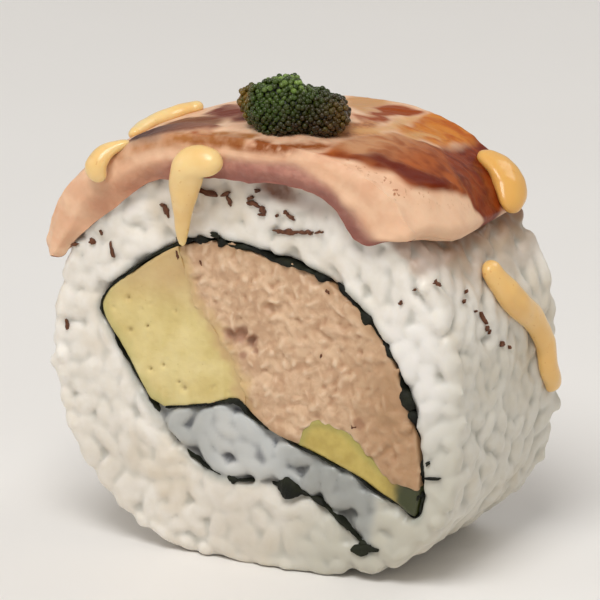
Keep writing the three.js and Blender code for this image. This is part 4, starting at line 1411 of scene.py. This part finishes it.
sauce = Finish("mayonnaise")
sauce_colour = sauce.over(
    sauce.mix(sauce.noise(5.0, 3.0).between(0.3, 0.7), (238, 206, 144), (232, 192, 124)),
    ["spiced", 1, (226, 172, 90)],
    [sauce.noise(0.45, 1.0).between(0.7, 0.78), 0.5, (208, 142, 70)],
)
sauce.surface(Base_Color=sauce_colour, Roughness=0.3, Specular_IOR_Level=0.35, Coat_Weight=0.5,
              Coat_Roughness=0.06, Coat_IOR=1.35, Normal=sauce.bump(sauce.noise(1.6), 0.1, 0.4))
sauce.flesh(0.35, (1.0, 0.75, 0.4), 1.5)


def drizzle(name, stops, spiced=0.0, height=0.9):
    """A bead of sauce through stops of a point, the bead's radius and the direction away from what it lies
    on. Its section is half an oval above, of height radii, and a flatter one below, and its ends are round.
    spiced is how orange it is."""
    line = curve_through([[*point, radius] for point, radius, _ in stops], SAUCE_SAMPLES)
    spot, radius = line[:, :3], line[:, 3]
    shares = np.linspace(0, len(stops) - 1, len(line))
    ways = np.transpose([way for _, _, way in stops])
    away = np.stack([np.interp(shares, np.arange(len(stops)), column) for column in ways], 1)
    run = course(spot)
    to_tip = np.minimum(run / radius[0], (run[-1] - run) / radius[-1])
    rounded = np.maximum(np.sqrt(1 - (1 - np.clip(to_tip, 0, 1)) ** 2), 0.05)
    along = unit(np.gradient(spot, axis=0))
    up = unit(away - (away * along).sum(1, keepdims=True) * along)
    turned = 2 * np.pi * np.arange(SAUCE_SIDES)[:, None] / SAUCE_SIDES
    rise = np.where(np.sin(turned) > 0, height, 0.6) * np.sin(turned)
    reach = (radius * rounded * (1 + 0.05 * swells(spot, 2.4, 91)))[:, None, None]
    skin = spot[:, None] + reach * (np.cross(along, up)[:, None] * 1.04 * np.cos(turned) + up[:, None] * rise)
    skin += 0.13 * np.stack([swells(skin, 2.2, 92 + k, 2) for k in range(3)], -1)
    part = (skin.reshape(-1, 3), tube_faces(len(line), SAUCE_SIDES))
    skin, faces, _ = fused(name, [part], SAUCE_VOXEL, 8, 1)
    layers = {"spiced": np.full(len(skin), spiced)}
    add_piece(name + "_bead", skin, faces, sauce, [name], 180.0, layers)


crown_stops = [[115.5, -0.9, 0.3, 0.8], [120.5, -1.1, 0.4, 1.1], [124.4, -2.8, 0.4, 1.2],
               [126.3, -5.6, 0.3, 1.1], [125.9, -8.6, 0.2, 0.7]]
drizzle("sauce_crown", laid(on_fish, crown_stops))
left_stops = [
    *laid(on_fish, [[121.4, -13.2, 0.15, 0.6], [124.6, -13.8, 0.2, 0.95]]),
    (on_fish(127.8, -14.6, 0.1), 1.3, outward(127.8) + 0.8 * FORWARD),
    ([-18.2, -15.4, 44.9], 1.35, outward(130) + 2 * FORWARD),
    ([-17.8, -15.2, 42.9], 0.85, outward(133) + 3 * FORWARD),
]
drizzle("sauce_left", left_stops)
front_stops = [
    ([-2.1, -15.9, 47.0], 1.2, outward(97) + 1.5 * FORWARD),
    ([-3.9, -16.1, 47.3], 1.75, outward(99) + 1.7 * FORWARD),
    ([-5.8, -16.0, 46.9], 2.05, outward(102) + 2 * FORWARD),
    ([-6.7, -15.8, 44.9], 1.85, FORWARD),
    ([-7.2, -15.4, 42.6], 1.5, FORWARD),
    ([-7.6, -14.9, 40.2], 1.1, FORWARD),
    ([-7.9, -14.4, 38.2], 0.72, FORWARD),
    ([-8.0, -14.1, 36.5], 0.34, FORWARD),
]
drizzle("sauce_front", front_stops)
right_stops = [[52, 10.0, 0.2, 1.1], [48.6, 9.8, 0.4, 1.7], [45, 9.8, 0.6, 2.2], [41.4, 9.4, 0.7, 2.3],
               [38.6, 8.0, 0.6, 1.8], [36.4, 6.4, 0.2, 1.2]]
drizzle("sauce_right", laid(on_fish, right_stops), spiced=1.0, height=0.55)
flank_stops = [[28.3, -1.6, 0.5, 1.3], [18.9, 0.7, 0.6, 1.7], [10.7, 5, 0.6, 1.6], [2.9, 7.7, 0.6, 1.4],
               [-4.1, 8.5, 0.6, 1.3], [-11, 10.8, 0.5, 1.1]]
drizzle("sauce_flank", laid(on_rice, flank_stops), spiced=0.5)


# ---------------------------------------------------------------- the specks
# Splashes of the dark glaze and crumbs of torched skin that have dried on to the white rice below the fish,
# and scraps that the knife has dragged off the nori's edge.

# On the front face as [x, z, length, width, tilt in degrees].
FACE_SPECKS = [
    [-5.7, 42.9, 2.2, 0.6, -8], [-3.1, 43.0, 1.0, 0.4, 20], [-2.7, 42.2, 0.45, 1.1, 25],
    [0.3, 42.3, 1.5, 0.7, -10], [1.6, 41.8, 0.8, 0.8, -35], [1.3, 41.2, 0.9, 0.35, 10],
    [-0.1, 42.9, 0.7, 0.4, 30], [0.8, 43.9, 0.6, 0.35, 0], [4.4, 41.9, 0.5, 0.4, 0],
    [5.0, 41.4, 0.9, 0.4, -25], [3.2, 41.4, 0.5, 0.3, 40], [-10.6, 40.1, 0.5, 1.6, 12],
    [-11.2, 40.7, 0.5, 0.3, 0], [-22.3, 34.7, 1.2, 0.3, 0], [-20.1, 35.2, 0.7, 0.9, 0],
    [-18.9, 36.4, 0.25, 0.6, 10], [-17.5, 34.6, 0.3, 1.4, 12], [-23.4, 25.0, 0.3, 1.0, 0],
    [3.4, 39.5, 1.6, 0.35, 4], [4.8, 39.7, 1.7, 0.6, 5], [6.2, 39.9, 1.3, 0.4, 8], [7.4, 40.0, 1.0, 0.45, -8],
    [8.6, 40.2, 0.8, 0.3, 12], [18.6, 33.4, 0.5, 0.4, 0], [20.2, 35.1, 0.5, 0.35, 0],
    [22.9, 36.1, 0.9, 0.35, -15], [-9.3, 35.0, 0.3, 1.0, 8], [-7.4, 34.8, 0.5, 0.8, -20],
    [-6.2, 34.4, 1.3, 0.4, -50], [12.6, 18.2, 0.9, 0.6, 30], [9.4, 33.4, 0.6, 0.3, -40],
    [8.6, 25.8, 0.3, 0.5, 0],
]
NORI_SCRAPS = [[14.1, 4.0, 2.6, 1.0, 8], [22.7, 13.7, 1.9, 0.35, 4], [20.9, 11.2, 0.5, 0.9, -20],
               [-9.4, 36.9, 0.8, 0.4, 30], [-4.6, 38.1, 0.9, 0.5, -10], [21.9, 15.2, 0.5, 0.4, 30]]
# On the right flank as [degrees, y, length, width, tilt in degrees].
FLANK_SPECKS = [[16.4, -4.8, 0.5, 1.3, 24], [13.4, -4.5, 0.5, 0.6, 50], [12.2, -3.7, 0.3, 0.5, 0],
                [7.5, -1.2, 0.6, 0.5, 20], [5.9, 0.1, 0.3, 0.4, 0], [24.5, -6.9, 0.6, 0.35, 0],
                [22.6, -7.9, 0.5, 0.3, 30], [19.0, -6.4, 0.4, 0.3, 0]]
FLAKE_SIDES = 18
# A flake's rings, as [share of the outline, height].
FLAKE_RINGS = [[1.0, -0.3], [1.0, 0.01], [0.86, 0.06], [0.5, 0.08], [0.15, 0.085]]


def lying(centres, outs, along, rows):
    """Flakes as their middles, the way each one's length runs, the way out of the roll there, and their
    sizes."""
    tilts = np.radians(rows[:, 4:])
    return centres, np.cos(tilts) * along + np.sin(tilts) * np.cross(outs, along), outs, rows[:, 2:4]


def at_front(rows):
    rows = np.array(rows)
    return lying(np.insert(rows[:, :2], 1, FRONT - 0.02, 1), np.tile(FORWARD, (len(rows), 1)), ALONG_X, rows)


def at_flank(rows):
    rows = np.array(rows)
    return lying(on_rice(rows[:, 0], rows[:, 1], -0.25), outward(rows[:, 0]), ALONG_Y, rows)


def lift_onto(points, outs, skin, reach):
    """How far points must move along outs to touch a skin: the furthest out that any of its points within
    reach, measured across outs, lies."""
    lift = np.zeros(len(points))
    for some in np.array_split(np.arange(len(points)), 1 + len(points) // 40):
        away = skin - points[some, None]
        along = (away * outs[some, None]).sum(-1)
        near = ((away**2).sum(-1) - along**2 < reach**2) & (np.abs(along) < 2)
        lift[some] = np.where(near.any(1), np.where(near, along, -9).max(1), 0)
    return lift


def flakes(name, finish, slot, centres, firsts, outs, sizes):
    """Thin ragged flakes that lie on the roll: rings of each one's outline, from a thin rim up to a middle
    that is hardly thicker, each point lifted to what lies under it."""
    turned = 2 * np.pi * np.arange(FLAKE_SIDES)[:, None] / FLAKE_SIDES
    ragged = 0.5 * (1 + 0.85 * rng.uniform(-1, 1, (len(centres), FLAKE_SIDES)))
    ragged = (ragged + 0.5 * (np.roll(ragged, 1, 1) + np.roll(ragged, -1, 1))) / 2
    outlines = ragged[..., None] * sizes[:, None] * np.hstack([np.cos(turned), np.sin(turned)])
    shares, heights = np.repeat(FLAKE_RINGS, FLAKE_SIDES, 0).T
    shapes = np.tile(outlines, (1, len(FLAKE_RINGS), 1)) * shares[:, None]
    shapes = np.dstack([shapes, np.broadcast_to(heights, shapes.shape[:2])])
    points = placed(shapes, centres, np.stack([firsts, np.cross(outs, firsts), outs], 1))
    rims = points[:, :FLAKE_SIDES].reshape(-1, 3)
    near_roll = rice_points[(rice_points[:, 1] < FRONT + 1.2) | (rice_points[:, 0] > 12)]
    lifts = lift_onto(rims, np.repeat(outs, FLAKE_SIDES, 0), near_roll, 0.3).reshape(ragged.shape)
    middle_lift = lifts.mean(1, keepdims=True)
    lifts = middle_lift + shares * np.tile(lifts - middle_lift, len(FLAKE_RINGS))
    points += lifts[..., None] * outs[:, None]
    faces = faces_of_each(points, tube_faces(len(FLAKE_RINGS), FLAKE_SIDES))
    add_piece(name, points, faces, finish, sharp=180.0)


specks = Finish("dark_specks")
speck_colour = specks.mix(specks.noise(0.4), (60, 32, 22), (122, 78, 54))
specks.surface(Base_Color=speck_colour, Roughness=0.45, Specular_IOR_Level=0.2)
speck_rows = zip(at_front(FACE_SPECKS), at_flank(FLANK_SPECKS))
flakes("dark_specks", specks, "sauce", *map(np.vstack, speck_rows))
flakes("nori_scraps", nori, "nori", *at_front(NORI_SCRAPS))
